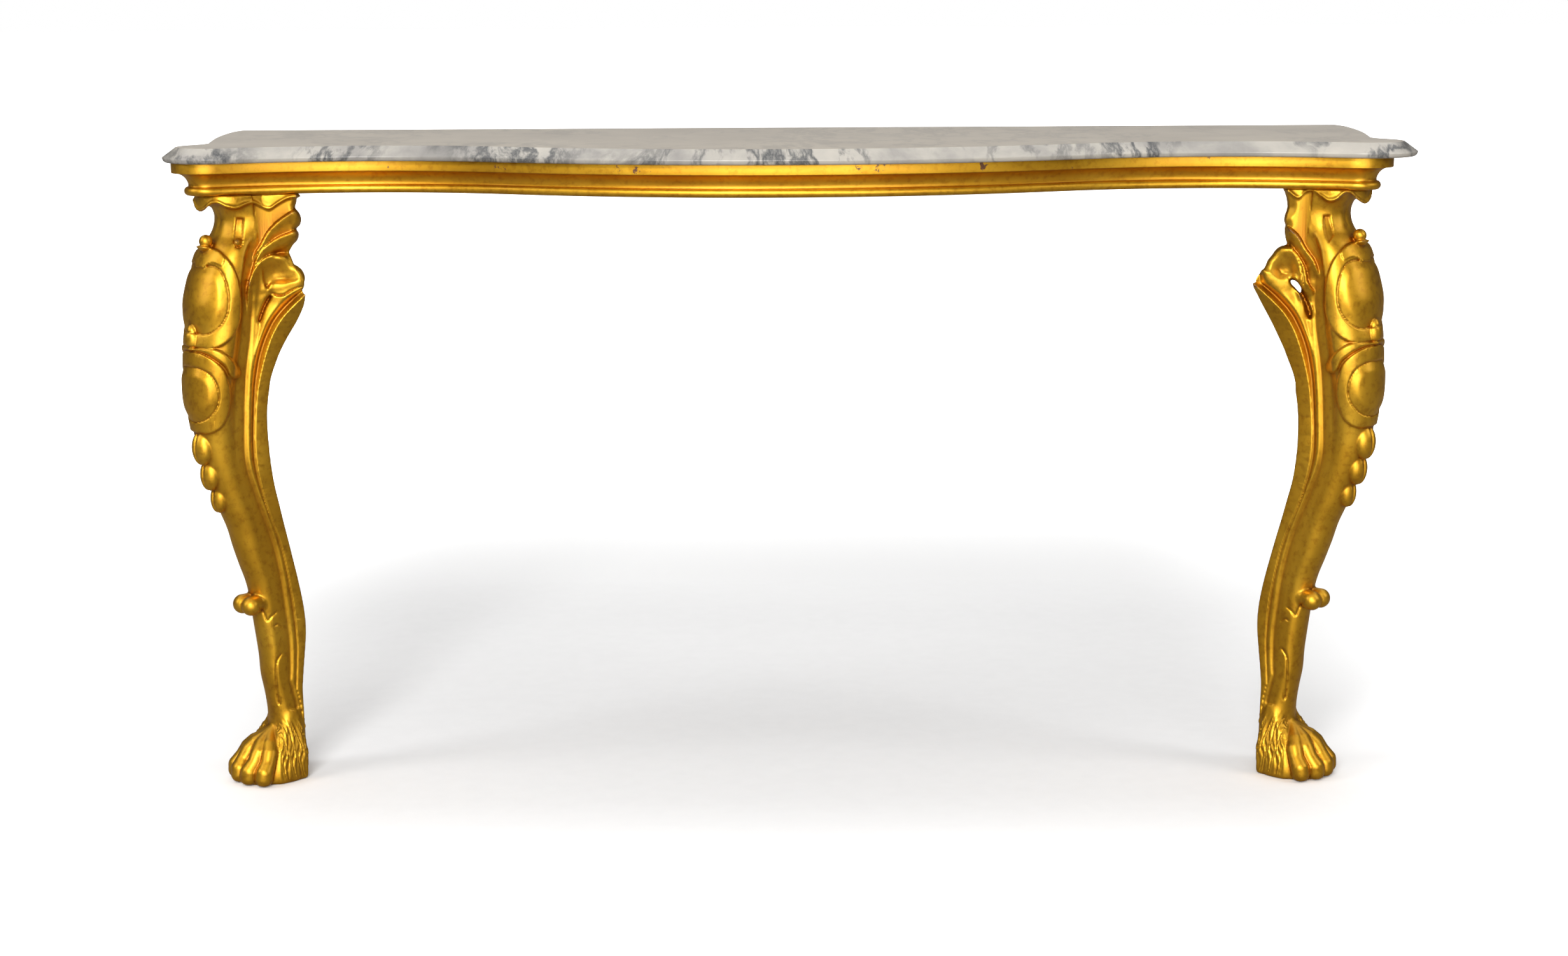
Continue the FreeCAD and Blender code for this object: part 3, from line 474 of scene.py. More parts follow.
def marble_slab():
    """The slab: its edge profile run round the ends and front, closed by flat faces."""
    right = stations(HALF)
    profile = slab_profile()
    rows = []
    for place in right[:-1]:
        rows.append([section_point(place, offset, z) for offset, z in profile])
    rows.append([(at_wall(right[-1], offset), 0.0, z) for offset, z in profile])
    rows = mirrored_ring(rows[:0:-1]) + rows
    count = len(profile)
    vertices = [(x + SLAB_SHIFT, y, z) for row in rows for x, y, z in row]
    faces = []
    for i in range(len(rows) - 1):
        for j in range(count - 1):
            a = i * count + j
            faces.append((a, a + 1, a + count + 1, a + count))
    last = (len(rows) - 1) * count
    faces.append([i * count for i in range(len(rows))])
    faces.append([i * count + count - 1 for i in reversed(range(len(rows)))])
    faces.append([last + j for j in range(count)] + [j for j in reversed(range(count))])
    slab = add_object("marble_slab", vertices, faces, [MARBLE])
    tidy_mesh(slab.data)
    smooth_below(slab.data, 30)
    return put(slab, "marble", "marble_top")


def tidy_mesh(mesh):
    """Merge doubled points, face everything outwards and make triangles of the many-sided faces."""
    work = bmesh.new()
    work.from_mesh(mesh)
    bmesh.ops.remove_doubles(work, verts=work.verts, dist=0.01 * MM)
    big = [face for face in work.faces if len(face.verts) > 4]
    bmesh.ops.triangulate(work, faces=big)
    bmesh.ops.recalc_face_normals(work, faces=work.faces)
    work.to_mesh(mesh)
    work.free()


def smooth_below(mesh, degrees):
    """Smooth shading with sharp edges where faces meet at more than an angle."""
    mesh.shade_smooth()
    work = bmesh.new()
    work.from_mesh(mesh)
    for edge in work.edges:
        edge.smooth = len(edge.link_faces) == 2 and edge.calc_face_angle() < math.radians(degrees)
    work.to_mesh(mesh)
    work.free()


# ================================================================ gilded frame
FILLET_HEIGHT = 14.0
FILLET_STEP = 2.0
COVE_DEPTH = 22.0
BEAD_RADIUS = 6.0
BEAD_INSET = 16.0
TOP_LAND = 6.0               # gilding on the top face
FILLET_ARRIS = 1.0
BEAD_QUIRK = 1.0
UNEVENNESS = 0.22            # of a moulding planed by hand
UNEVENNESS_ROOM = 0.5        # the moulding is set back so that this stays within the plan
RAIL_BESIDE_BLOCK = 20.0     # least wood outside the corner block
FAR_X = 1e6                  # past every station


def rail_profile():
    """Fillet, cove and bead of the rails' outer face from top to underside, in (offset, height)."""
    under_fillet = FRAME_TOP - FILLET_HEIGHT
    bead_top = FRAME_UNDER + 2 * BEAD_RADIUS
    soft = FILLET_ARRIS
    points = [(-TOP_LAND, FRAME_TOP), (-soft, FRAME_TOP)]
    points += arc((-soft, FRAME_TOP - soft), soft, 90, 0, 4)[1:]
    points += arc((-soft, under_fillet + soft), soft, 0, -70, 4)
    depth = COVE_DEPTH - FILLET_STEP
    rise = under_fillet - bead_top
    cove = [(-COVE_DEPTH + depth * (1 - math.cos(t)), bead_top + rise * math.sin(t))
            for t in np.radians(np.linspace(86, 6, 12))]
    points += [(-FILLET_STEP, under_fillet)] + cove
    points += arc((-BEAD_INSET - BEAD_RADIUS, FRAME_UNDER + BEAD_RADIUS), BEAD_RADIUS, 84, -84, 14)
    points += [(-BEAD_INSET - BEAD_RADIUS - BEAD_QUIRK, FRAME_UNDER)]
    return points


def hand_wobble(x, z, reach):
    """A hand-planed moulding's slow unevenness, in mm."""
    return UNEVENNESS * (math.sin(x / 61.0 + 1.3) + math.sin(x / 23.0 + z / 9.0) * 0.6
                         + math.sin(reach / 37.0))


def rail_mesh(name, rows, inner, materials):
    """A rail from its outer rows and the inner point of each, closed all round.

    The outer face is gilded, the rest is bare wood. The creases above the bead and under the fillet are
    marked for painted shade.
    """
    vertices = []
    for row, (x, reach) in zip(rows, inner):
        vertices += row + [(x, -reach, FRAME_UNDER), (x, -reach, FRAME_TOP)]
    count = len(rows[0]) + 2
    faces = []
    bare = []
    for i in range(len(rows) - 1):
        for j in range(count):
            a = i * count + j
            b = i * count + (j + 1) % count
            faces.append((a, b, b + count, a + count))
            bare.append(j >= count - 3)
    last = (len(rows) - 1) * count
    faces.append([j for j in reversed(range(count))])
    faces.append([last + j for j in range(count)])
    bare += [True, True]
    rail = add_object(name, vertices, faces, materials)
    for polygon, is_bare in zip(rail.data.polygons, bare):
        polygon.material_index = int(is_bare)
    tidy_mesh(rail.data)
    smooth_below(rail.data, 38)
    painted_shade_marks = rail.data.attributes.new("painted_shade_and_rubbing", "FLOAT", "POINT")
    heights = np.array([v.co.z for v in rail.data.vertices]) / MM
    bead_top = FRAME_UNDER + 2 * BEAD_RADIUS
    # Painted shade: the creases above the bead and under the fillet are stored as hollows, which the gilding
    # paints darker.
    painted_shade_above_bead = np.exp(-((heights - bead_top - 1.0) / 2.5) ** 2)
    under_fillet = np.exp(-((heights - FRAME_TOP + FILLET_HEIGHT + 1.0) / 1.5) ** 2)
    painted_shade_marks.data.foreach_set("value", (-0.8 * painted_shade_above_bead - 0.5 * under_fillet).astype(np.float32))
    return rail


def outer_rows(places, profile):
    """The moulding's points at each station, with a hand-made unevenness."""
    rows = []
    for place in places:
        row = []
        for k, (offset, z) in enumerate(profile):
            x, y, _ = section_point(place, offset, z)
            wobble = hand_wobble(x, z, -y) if 1 < k < len(profile) - 1 else 0.0
            x, y, _ = section_point(place, offset - UNEVENNESS_ROOM + wobble, z)
            row.append((x, y, z))
        rows.append(row)
    return rows


def split_lobe():
    """The corner lobe cut at the mitre, 45 degrees out."""
    bow, hollow, lobe, waist, flare, tail = HALF
    front = Bend(lobe.centre, lobe.radius, 1, lobe.start, math.pi / 4)
    side = Bend(lobe.centre, lobe.radius, 1, math.pi / 4, lobe.end)
    return [bow, hollow, front], [side, waist, flare, tail]


def front_rail():
    """The serpentine front rail between its two mitres."""
    bends, _ = split_lobe()
    places = stations(bends)
    block_side = BLOCK_LOW.x
    block_face = -BLOCK_LOW.y
    block_edge = BLOCK_HIGH.x
    inner = []
    for bend, angle in places:
        x, reach = bend.point(angle, -FRONT_RAIL_WIDTH) if bend is not bends[2] else (FAR_X, 0.0)
        if x < block_side:
            inner.append((x, reach))
            meeting = reach
        else:
            outer_x = bend.point(angle)[0]
            inner.append((min(outer_x - RAIL_BESIDE_BLOCK, block_edge), block_face))
    first = next(i for i, point in enumerate(inner) if point[1] == block_face)
    inner[first] = (block_side, meeting)
    inner[first + 1] = (block_side, block_face)
    for i in range(first + 2, len(inner)):
        share = (i - first - 1) / (len(inner) - first - 2)
        inner[i] = (block_side + (block_edge - block_side) * share, block_face)
    rows = outer_rows(places, rail_profile())
    rows = mirrored_ring(rows[:0:-1]) + rows
    inner = [(-x, reach) for x, reach in inner[:0:-1]] + inner
    rail = rail_mesh("gilded_front_rail", rows, inner, [GOLD, PINE_ALONG_X])
    return put(rail, "gilded_wood", "front_rail")


def side_rail(side):
    """One end's rail, from the mitre to the wall; side is 1 on the right and -1 on the left."""
    _, bends = split_lobe()
    places = stations(bends)
    profile = rail_profile()
    rows = outer_rows(places, profile)
    rows[-1] = [(at_wall(places[-1], offset - UNEVENNESS_ROOM), 0.0, z) for offset, z in profile]
    block_edge = BLOCK_HIGH.x
    block_back = -BLOCK_HIGH.y
    block_face = -BLOCK_LOW.y
    inner = []
    for row in rows:
        reach = -row[1][1]
        if reach > block_back:
            inner.append((block_edge, min(reach, block_face)))
        else:
            inner.append((SIDE_RAIL_INNER, reach))
    inner[0] = (block_edge, block_face)
    step = next(i for i, point in enumerate(inner) if point[0] < block_edge)
    inner[step - 1] = (block_edge, block_back)
    inner[step] = (SIDE_RAIL_INNER, block_back)
    if side < 0:
        rows = mirrored_ring(rows)
        inner = [(-x, reach) for x, reach in inner]
    name = "right" if side > 0 else "left"
    rail = rail_mesh(f"gilded_{name}_side_rail", rows, inner, [GOLD, PINE_ALONG_Y])
    return put(rail, "gilded_wood", f"{name}_side_rail")


# ================================================================ carving
# A leg is carved as a signed distance: below zero inside the wood. Its directions are s, outward
# along the leg's diagonal, n, across the diagonal towards the face the room sees, and z, up from
# the floor. Both halves are alike, so only n >= 0 is carved and then mirrored.
# Ornament is drawn as it is seen from the camera's place, on an upright plane DRAWING_REACH out
# from the wall: p is how far out a point lies from the plane's DRAWING_X, h its height there.
DRAWING_REACH = 400.0
DRAWING_X = 747.0
HALF_ROOT = math.sqrt(0.5)
CELL = 1.4
SLICE = 24                   # layers of the grid worked out together
CARVED_S = (-112.0, 74.0)    # how far the grid runs along s, and along n
CARVED_N = 96.0
LEG_TRIANGLES = 180000
FAR = 1e9                    # past every distance


def through(points, places):
    """A smooth curve through (place, value) points, evaluated at places."""
    x, y = np.array(points, dtype=float).T
    slope = np.gradient(y, x)
    i = np.clip(np.searchsorted(x, places) - 1, 0, len(x) - 2)
    width = x[i + 1] - x[i]
    t = np.clip((places - x[i]) / width, 0.0, 1.0)
    keep = 1 - t
    return (y[i] * (1 + 2 * t) * keep ** 2 + slope[i] * width * t * keep ** 2
            + y[i + 1] * t ** 2 * (3 - 2 * t) - slope[i + 1] * width * t ** 2 * keep)


def ease(t):
    """0 to 1 with level ends."""
    t = np.clip(t, 0.0, 1.0)
    return t * t * (3 - 2 * t)


def join(a, b, soft):
    """Union of two distances, with a fillet about as wide as soft."""
    overlap = np.maximum(soft - np.abs(a - b), 0.0) / soft
    return np.minimum(a, b) - overlap ** 2 * soft / 4


def meet(a, b, soft):
    """Common part of two distances, its edge rounded about as wide as soft."""
    return -join(-a, -b, soft)


def stretches(x, y, points):
    """Each stretch of a polyline: its start, its step, and every place's nearest share and distance."""
    for (ax, ay), (bx, by) in zip(points, points[1:]):
        dx, dy = bx - ax, by - ay
        t = np.clip(((x - ax) * dx + (y - ay) * dy) / (dx * dx + dy * dy), 0.0, 1.0)
        yield ax, ay, dx, dy, t, np.hypot(x - ax - t * dx, y - ay - t * dy)


def line_distance(x, y, points):
    """Distance to a polyline, and the share of the way along it of the nearest point."""
    best = np.full(x.shape, FAR)
    share = np.zeros(x.shape)
    for i, (_, _, _, _, t, distance) in enumerate(stretches(x, y, points)):
        nearer = distance < best
        best = np.where(nearer, distance, best)
        share = np.where(nearer, (i + t) / (len(points) - 1), share)
    return best, share


def rounded(points, steps=5):
    """A polyline's points joined by smooth curves."""
    ends = [points[0]] + list(points) + [points[-1]]
    out = []
    for stretch in zip(ends, ends[1:], ends[2:], ends[3:]):
        for t in np.linspace(0, 1, steps, endpoint=False):
            out.append(tuple(0.5 * (2 * b + (c - a) * t + (2 * a - 5 * b + 4 * c - d) * t * t
                                    + (3 * b - a - 3 * c + d) * t ** 3) for a, b, c, d in zip(*stretch)))
    out.append(tuple(points[-1]))
    return out


def inside(x, y, points, wanted):
    """How far points lie inside a closed smooth outline, -1 where they aren't wanted."""
    result = np.full(x.shape, -1.0)
    result[wanted] = -outline_distance(x[wanted], y[wanted], rounded(points, 3))
    return result


def side_distance(x, y, points):
    """Distance to a line that runs towards -x, above 0 on its lower side, and the share along it."""
    best = np.full(x.shape, FAR)
    signed = np.zeros(x.shape)
    share = np.zeros(x.shape)
    for i, (ax, ay, dx, dy, t, distance) in enumerate(stretches(x, y, points)):
        lower = dx * (y - ay) - dy * (x - ax)
        nearer = distance < best
        best = np.where(nearer, distance, best)
        signed = np.where(nearer, np.where(lower > 0, distance, -distance), signed)
        share = np.where(nearer, (i + t) / (len(points) - 1), share)
    return signed, share


def outline_distance(x, y, points):
    """Signed distance to a closed outline, below zero inside."""
    ring = list(points) + [points[0]]
    best, _ = line_distance(x, y, ring)
    within = np.zeros(x.shape, dtype=bool)
    for (ax, ay), (bx, by) in zip(ring, ring[1:]):
        if ay != by:
            crosses = (ay > y) != (by > y)
            within ^= crosses & (x < ax + (y - ay) * (bx - ax) / (by - ay))
    return np.where(within, -best, best)


def limb(x, y, z, spine):
    """Distance to a tapering rod through (x, y, z, radius) points."""
    best = np.full(x.shape, FAR)
    for a, b in zip(spine, spine[1:]):
        step = [b[k] - a[k] for k in range(3)]
        length = sum(value * value for value in step)
        way = (x - a[0]) * step[0] + (y - a[1]) * step[1] + (z - a[2]) * step[2]
        t = np.clip(way / length, 0.0, 1.0)
        gap = np.sqrt((x - a[0] - t * step[0]) ** 2 + (y - a[1] - t * step[1]) ** 2
                      + (z - a[2] - t * step[2]) ** 2)
        best = np.minimum(best, gap - (a[3] + (b[3] - a[3]) * t))
    return best


def egg(*parts, least=1e-3):
    """Distance to an ellipse or an egg, from each direction's (way off the middle, half-size)."""
    scaled = np.sqrt(sum((off / size) ** 2 for off, size in parts))
    steep = np.sqrt(sum((off / size ** 2) ** 2 for off, size in parts))
    return scaled * (scaled - 1) / np.maximum(steep, least)


def bud(places, centre, size):
    """Distance to an egg of three half-sizes."""
    return egg(*((place - middle, half) for place, middle, half in zip(places, centre, size)), least=1e-4)


def across_at(p, n):
    """Outward place s of the point that is drawn at p and lies n across the diagonal."""
    k = (DRAWING_X + p) / (CAMERA_REACH - DRAWING_REACH)
    out = k * (CAMERA_REACH - LEG_REACH) - LEG_X
    return (out / HALF_ROOT + n * (1 - k)) / (1 + k)


# The leg's shape up its height, each (height, value) or (height, p, n).
NOSE_DEPTH = ((60, 18), (105, 16), (160, 13), (224, 16), (295, 19), (379, 23), (446, 26), (520, 28),
              (570, 30), (650, 33), (700, 34), (740, 31), (774, 28), (800, 34), (816, 40))
SIDE = ((60, 26), (105, 21), (160, 20), (295, 22.5), (379, 25), (446, 27), (490, 30), (520, 34), (570, 41),
        (600, 44), (650, 48), (700, 49), (740, 44), (774, 37), (790, 38.5), (803, 42), (816, 44))
OUTER = ((55, -42), (80, -43.5), (94, -43.5), (121, -40.5), (148, -36), (175, -34.5), (202, -31.6),
         (228, -28.5), (255, -25.5), (282, -20), (308, -11.5), (335, -3.2), (361, 3.8), (388, 14),
         (414, 22.8), (453, 35), (492, 43), (518, 47), (544, 51), (570, 51.5), (596, 51), (622, 49),
         (647, 46), (673, 45.5), (698, 40), (724, 32), (737, 27), (749, 20), (762, 10), (774, 4),
         (787, 2.5), (800, 8), (816, 18))
INNER = ((55, -96), (94, -95), (121, -94.3), (148, -96.5), (175, -99.5), (202, -102), (228, -101.5),
         (255, -98), (282, -93), (308, -87.4), (335, -81.5), (361, -75.5), (388, -69.7), (414, -64),
         (453, -58.5), (492, -56.5), (518, -57.5), (544, -61), (570, -67), (596, -76.5), (622, -89),
         (647, -100.5), (660, -106), (673, -111.5), (690, -118), (706, -118))
ARRIS = ((60, -80, 24), (109, -84, 23), (138, -86, 22.5), (187, -88.7, 23), (236, -86.5, 25),
         (284, -80, 26.5), (335, -70, 27.5), (383, -54.5, 29), (415, -46, 30), (446, -40.5, 31),
         (526, -41.5, 32), (560, -46, 34.9), (583, -51.5, 37.8), (606, -58.5, 41.6), (629, -68, 46.1),
         (650, -81.5, 53.9), (673, -105, 66.3), (690, -125, 80))
RIDGE = ((60, -73, 22), (138, -80, 21.5), (187, -82.5, 22), (236, -79.5, 23), (284, -74, 25),
         (335, -64, 26), (383, -48.5, 28), (415, -39.5, 29), (446, -31.5, 30), (514, -31, 31.5),
         (560, -34, 33), (600, -37, 34), (629, -40, 34.5), (689, -46.6, 38), (740, -50, 38), (816, -50, 37))
HOLLOW = ((60, -62, 20), (109, -66, 19), (138, -71, 18.5), (187, -73, 18.3), (236, -69, 19.5),
          (284, -64, 20.5), (335, -54.5, 21.3), (383, -40, 22.7), (415, -30, 23.7), (446, -21.5, 24.7),
          (520, -20.5, 26.7), (583, -26, 28.5), (629, -33, 31), (666, -36, 33), (700, -35, 35.5),
          (735, -34, 37), (816, -34, 37))
FLUTE_DEPTH = ((300, 0.9), (400, 1.4), (480, 3.0), (560, 3.6))
SWEEP_OFF = ((560, 1), (590, 3.5), (629, 12.5), (650, 21), (673, 38), (690, 58))
SWEEP_N = ((560, 33), (600, 35.5), (629, 40.4), (650, 46.5), (673, 57), (690, 69))
VALLEY_OFF = ((560, 0.5), (590, 1.2), (629, 7), (650, 8), (673, 14), (690, 20))
VALLEY_N = ((560, 33), (600, 34.6), (629, 36.2), (650, 38), (673, 42), (690, 46))
SWEEP_TOP = {
    -1: ((-125, 700), (-113, 697), (-104, 696), (-92, 696), (-80, 694), (-69, 694), (-58, 700), (-52, 760),
         (-40, 900)),
    1: ((-125, 710), (-118, 710.5), (-111, 706.5), (-104, 703), (-94, 700), (-88, 696), (-80, 693),
        (-69, 694), (-58, 700), (-52, 760), (-40, 900)),
}
BACK_SHIFT = {
    -1: ((480, 0), (560, 2), (620, 1), (645, -3), (668, -3), (680, 0.5), (690, 4), (698, 10)),
    1: ((420, 0), (480, -1.5), (560, -3), (640, -4), (668, -7), (690, -7), (700, -4), (710, 4)),
}
CORE_BACK = ((60, -100), (400, -100), (500, -60), (560, -38), (640, -34), (700, -38), (740, -50),
             (774, -56), (816, -56))
SWEEP_STARTS = 560.0
SWEEP_ENDS = 706.0
PLAIN_ABOVE = SWEEP_ENDS + 8  # the neck's sides are flat from here up
NECK_HALF = 37.0
NECK_BOTTOM = 704.0
POST_LENGTH = 101.0
POST_BACK = 86.0
POST_FRONT = 8.0
POST_SPLAY = 0.2
# Heights between which a mass of the leg is worked out.
CROWN = (620, 900)
NOSE_ORNAMENT = (600, 770)
HUSK_RUN = (380, 500)
KNOB_RUN = (210, 290)
PAW_RUN = (-10, 130)


def side_profile(s, z):
    """Half-thickness of the leg at each (height, outward place), and up the leg the nose's centre and
    depth and the arris's half-thickness.
    """
    nose = through(NOSE_DEPTH, z)
    side = through(SIDE, z)
    lean = np.hypot(DRAWN_S * nose, DRAWN_N * side)
    centre = (through(OUTER, z) + DRAWN_SHIFT - lean) / DRAWN_S
    arris_p, ridge_p, hollow_p = (through([point[:2] for point in curve], z)
                                  for curve in (ARRIS, RIDGE, HOLLOW))
    arris_n, ridge_n, hollow_n = (through([point[::2] for point in curve], z)
                                  for curve in (ARRIS, RIDGE, HOLLOW))
    plain = z > PLAIN_ABOVE
    unswept = plain | (z < SWEEP_STARTS)
    sweep_n = np.where(unswept, ridge_n, through(SWEEP_N, z))
    valley_n = np.where(unswept, ridge_n, through(VALLEY_N, z))
    sweep_s = across_at(ridge_p - through(SWEEP_OFF, z), sweep_n)
    valley_s = across_at(ridge_p - through(VALLEY_OFF, z), valley_n)
    arris_n = np.where(plain, NECK_HALF, arris_n)
    ridge_n = np.where(plain, NECK_HALF, ridge_n)
    flute_n = np.minimum(arris_n, sweep_n) - np.where(plain, 0.0, through(FLUTE_DEPTH, z))
    arris_s = across_at(arris_p, arris_n)
    shoulder_s = np.minimum(across_at(hollow_p + 8.0, hollow_n), centre - 8.0)
    places = [arris_s, arris_s * 0.72 + sweep_s * 0.28, sweep_s, valley_s, across_at(ridge_p, ridge_n),
              across_at(hollow_p - 3.0, hollow_n), shoulder_s, centre]
    values = [arris_n, flute_n, sweep_n, valley_n, ridge_n, hollow_n + 0.6, hollow_n + 1.6, side]
    for i, gap in reversed(list(enumerate((0.4, 0.4, 0.4, 0.4, 5.0, 5.0, 8.0)))):
        places[i] = np.minimum(places[i], places[i + 1] - gap)
    thick = np.broadcast_to(values[0][:, None], (len(z), len(s))).copy()
    for i in range(len(places) - 1):
        start, end = places[i][:, None], places[i + 1][:, None]
        t = np.clip((s[None, :] - start) / (end - start), 0.0, 1.0)
        bend = np.sin(t * math.pi / 2) if i == 0 else ease(t)
        span = values[i][:, None] + (values[i + 1] - values[i])[:, None] * bend
        thick = np.where(s[None, :] >= start, span, thick)
    return thick, centre, nose, arris_n


def drawn(s, n, z):
    """Where the camera sees a point, on the drawing plane: (p, h)."""
    x = LEG_X + (s - n) * HALF_ROOT
    reach = LEG_REACH + (s + n) * HALF_ROOT
    scale = (CAMERA_REACH - DRAWING_REACH) / (CAMERA_REACH - reach)
    return x * scale - DRAWING_X, CAMERA_HEIGHT + (z - CAMERA_HEIGHT) * scale


LIP_EDGE = {
    -1: ((-125, 813), (-104, 813), (-95, 811.5), (-82, 805), (-69, 797.5), (-59, 801), (-49, 805.5),
         (-38, 803), (-27, 799), (-12, 801), (0, 806), (10, 803), (16, 797.5), (22, 795), (30, 796),
         (38, 801), (45, 809)),
    1: ((-125, 812), (-78, 812), (-71.7, 807), (-65.3, 805), (-59.2, 811), (-49.3, 815), (-36.4, 807),
        (-26, 801), (-16, 803), (-6.3, 811), (1.3, 812), (11.7, 803), (20, 798), (28, 797), (34, 799),
        (40, 806)),
}
HUSKS = ((479.0, 24.0, 17.0, 13.0), (441.5, 22.5, 15.5, 12.0), (407.0, 20.5, 13.5, 10.5))
KNOB = ((-40.0, 3.0, 257.0, 9.0), (-27.0, 8.0, 254.0, 12.0), (-15.0, 10.3, 252.0, 13.5))
TOE_TURNS = (12.5, 38.0)
TOE_CENTRE = -52.0
# Toe: distance from the ankle's middle, height, thickness, and turn to the side in degrees.
TOE = ((0.0, 70.0, 7.0, -9.0), (15.0, 59.0, 9.5, -5.0), (28.0, 51.0, 11.5, 2.0), (37.0, 42.5, 12.0, 5.0),
       (45.5, 31.0, 10.8, 4.0), (53.5, 19.0, 12.8, 0.0), (54.0, 12.0, 12.6, -1.0))
PAW_CORE = ((-6, 54), (12, 57), (24, 53), (35, 44), (45, 34), (56, 21), (67, 9), (78, -6), (110, -60))
PAW_SPREAD = 1.3
PAW_BACK = 2.3
HEEL_SIDE = ((-6, 43), (28, 42.5), (45, 39), (60, 33), (75, 28), (92, 23), (120, 20))
HEEL_MIDDLE = ((-6, -52), (34, -55), (60, -60), (75, -66), (120, -72))
HEEL_HALF = ((-6, 26), (34, 27), (60, 23), (75, 18), (92, 11), (120, 4))
EAR_OUTLINE = {
    -1: ((-15, 830), (-80, 830), (-103, 826), (-106, 810), (-103.5, 800), (-108.5, 793), (-111, 785),
         (-109, 777), (-104, 772), (-107, 765.5), (-104.5, 757), (-98, 752), (-91, 747), (-82, 743.5),
         (-76, 739.5), (-83, 738.5), (-90, 736), (-95, 730), (-98, 724.5), (-103, 723), (-109, 718.5),
         (-112.5, 711), (-112, 703), (-107, 698), (-100, 695), (-92, 691.5), (-84, 688), (-76, 687),
         (-64, 686), (-50, 684), (-15, 690)),
    1: ((-15, 830), (-55, 830), (-84, 828), (-83, 817), (-77.5, 806), (-75, 795), (-77.3, 787), (-80, 783),
        (-81.5, 777), (-79, 770), (-80.9, 764), (-79.5, 754), (-76, 743), (-87.3, 742), (-94, 738),
        (-99.5, 730.5), (-105, 723), (-107, 714), (-105.5, 705), (-100, 702), (-93.7, 701), (-85.9, 696),
        (-77, 694), (-70, 696), (-50, 686), (-15, 690)),
}
SHANK_LEAN = 4.5
LEAN_STARTS = 480.0
LEAN_RUN = 260.0
NOSE_BALL = (29.0, 0.0, 755.0, 9.0)     # s, n, height and radius
KNOT_HEIGHT = 627.0
KNOT_SIZE = (6.0, 8.0, 14.0)
NECK_BALL = (-26.5, 35.5, 754.0, 5.6)   # p, n, height and radius; the left leg's only
POST_EDGE = {-1: 81.0, 1: 64.0}
LIP_END = {-1: 100.0, 1: 75.0}
# Outlines on the drawing plane, in (p, h). What wraps round the nose runs on past it, to PAST_NOSE.
PAST_NOSE = 70.0
FRAMES = (
    ((PAST_NOSE, 744), (28, 747), (12, 747), (-1, 743), (-12, 733), (-21, 718), (-26, 700), (-28, 680),
     (-27, 657), (-22, 641), (-12, 626), (2, 616), (17, 612.5), (32, 614), (PAST_NOSE, 618)),
    ((PAST_NOSE, 612), (37, 609), (22, 603), (9, 594.5), (-1, 583), (-6, 567), (-8, 551), (-6, 533),
     (0, 515), (10, 503), (25, 497), (38, 499), (PAST_NOSE, 501)),
)
OVALS = (
    ((PAST_NOSE, 724), (16, 724), (5, 722), (-2, 716), (-7, 705), (-10.5, 688), (-10.3, 670), (-6, 655),
     (3, 642), (14, 634.5), (25, 632), (37, 634), (PAST_NOSE, 637)),
    ((PAST_NOSE, 589), (42, 588), (30, 585), (18, 577), (10.5, 564), (8, 550), (10.5, 536), (17, 526),
     (27, 517), (39, 513.5), (PAST_NOSE, 512)),
)
CAP = ((PAST_NOSE, 750), (22, 750.5), (9, 748), (-2, 743), (-9, 733), (-4, 722), (6, 726), (14, 725),
       (21, 720), (31, 723), (38, 727), (PAST_NOSE, 727))
TONGUE = ((PAST_NOSE, 617), (27, 615), (12, 614.5), (-3, 608), (-15, 597), (-22.5, 585), (-22, 575),
          (-14, 570.5), (-6, 575), (-1, 587), (9, 595), (22, 603), (37, 608), (PAST_NOSE, 609))
# Upper edges of the ear's overlapping leaves, each raised along its lower side.
LEAF_EDGES = {
    -1: (((-42, 728), (-48, 742), (-55, 752), (-65, 769), (-79, 783), (-92, 792), (-104, 799)),
         ((-38, 702), (-45, 726), (-54, 743), (-66, 754), (-80, 762.5), (-92, 767), (-104, 771.5)),
         ((-33, 655), (-35, 692), (-42, 715), (-53, 730), (-65, 737.5), (-77, 740))),
    1: (((-33, 700), (-41, 722), (-54, 740), (-65, 758), (-81, 771)),
        ((-38, 680), (-49, 694), (-53.5, 714), (-64, 732), (-76, 742.5)),
        ((-36, 650), (-48, 672), (-54.7, 689), (-57, 704), (-61.4, 722), (-70, 737))),
}
# Cuts are (points, half-width, depth); each tapers to its ends.
UNDER_LEAF = ((-66, 688), (-76, 684), (-84, 684.5), (-92, 689), (-100, 692.5), (-109, 695.5))
CUTS = {
    -1: [(((-67, 684), (-58, 670), (-49, 648)), 2.0, 5.5), (UNDER_LEAF, 1.1, 3.0)],
    1: [(((-71, 696), (-60, 684), (-52, 669), (-46, 648)), 2.6, 30.0)],
}
SHIN_CUTS = [
    (((-36.6, 261), (-43, 252), (-47.7, 240), (-54, 246), (-61, 252)), 1.3, 1.8),
    (((-57, 232), (-62, 235), (-68, 231)), 1.2, 1.6),
    (((-66, 194), (-62, 189), (-58, 180), (-56.5, 160), (-57, 135), (-59.5, 122), (-62, 130)), 1.2, 2.2),
]
NECK_SLOT = {
    -1: ((-25, 788), (-36, 787), (-34, 768), (-33, 751), (-29, 745), (-22, 747), (-19, 756), (-22, 770)),
    1: ((-19, 784), (-33.5, 783), (-32.5, 768), (-29.6, 757), (-24.7, 745), (-17, 757), (-20.4, 770)),
}
NEAR = 12.0
HOLLOW_DEPTH = 6.0
HOLLOW_CELLS = 3
DRAWN_S = 0.851
DRAWN_N = 0.551
DRAWN_SHIFT = 8.4


def within_run(z, run):
    """Whether some layers reach into a run of heights."""
    return z[0] < run[1] and z[-1] > run[0]


def behind_post(along, reach, hand):
    """Distance past the square post's outer and rear faces."""
    side = along - POST_EDGE[hand] - POST_SPLAY * (reach + POST_FRONT)
    return np.maximum(side, -POST_BACK - reach)


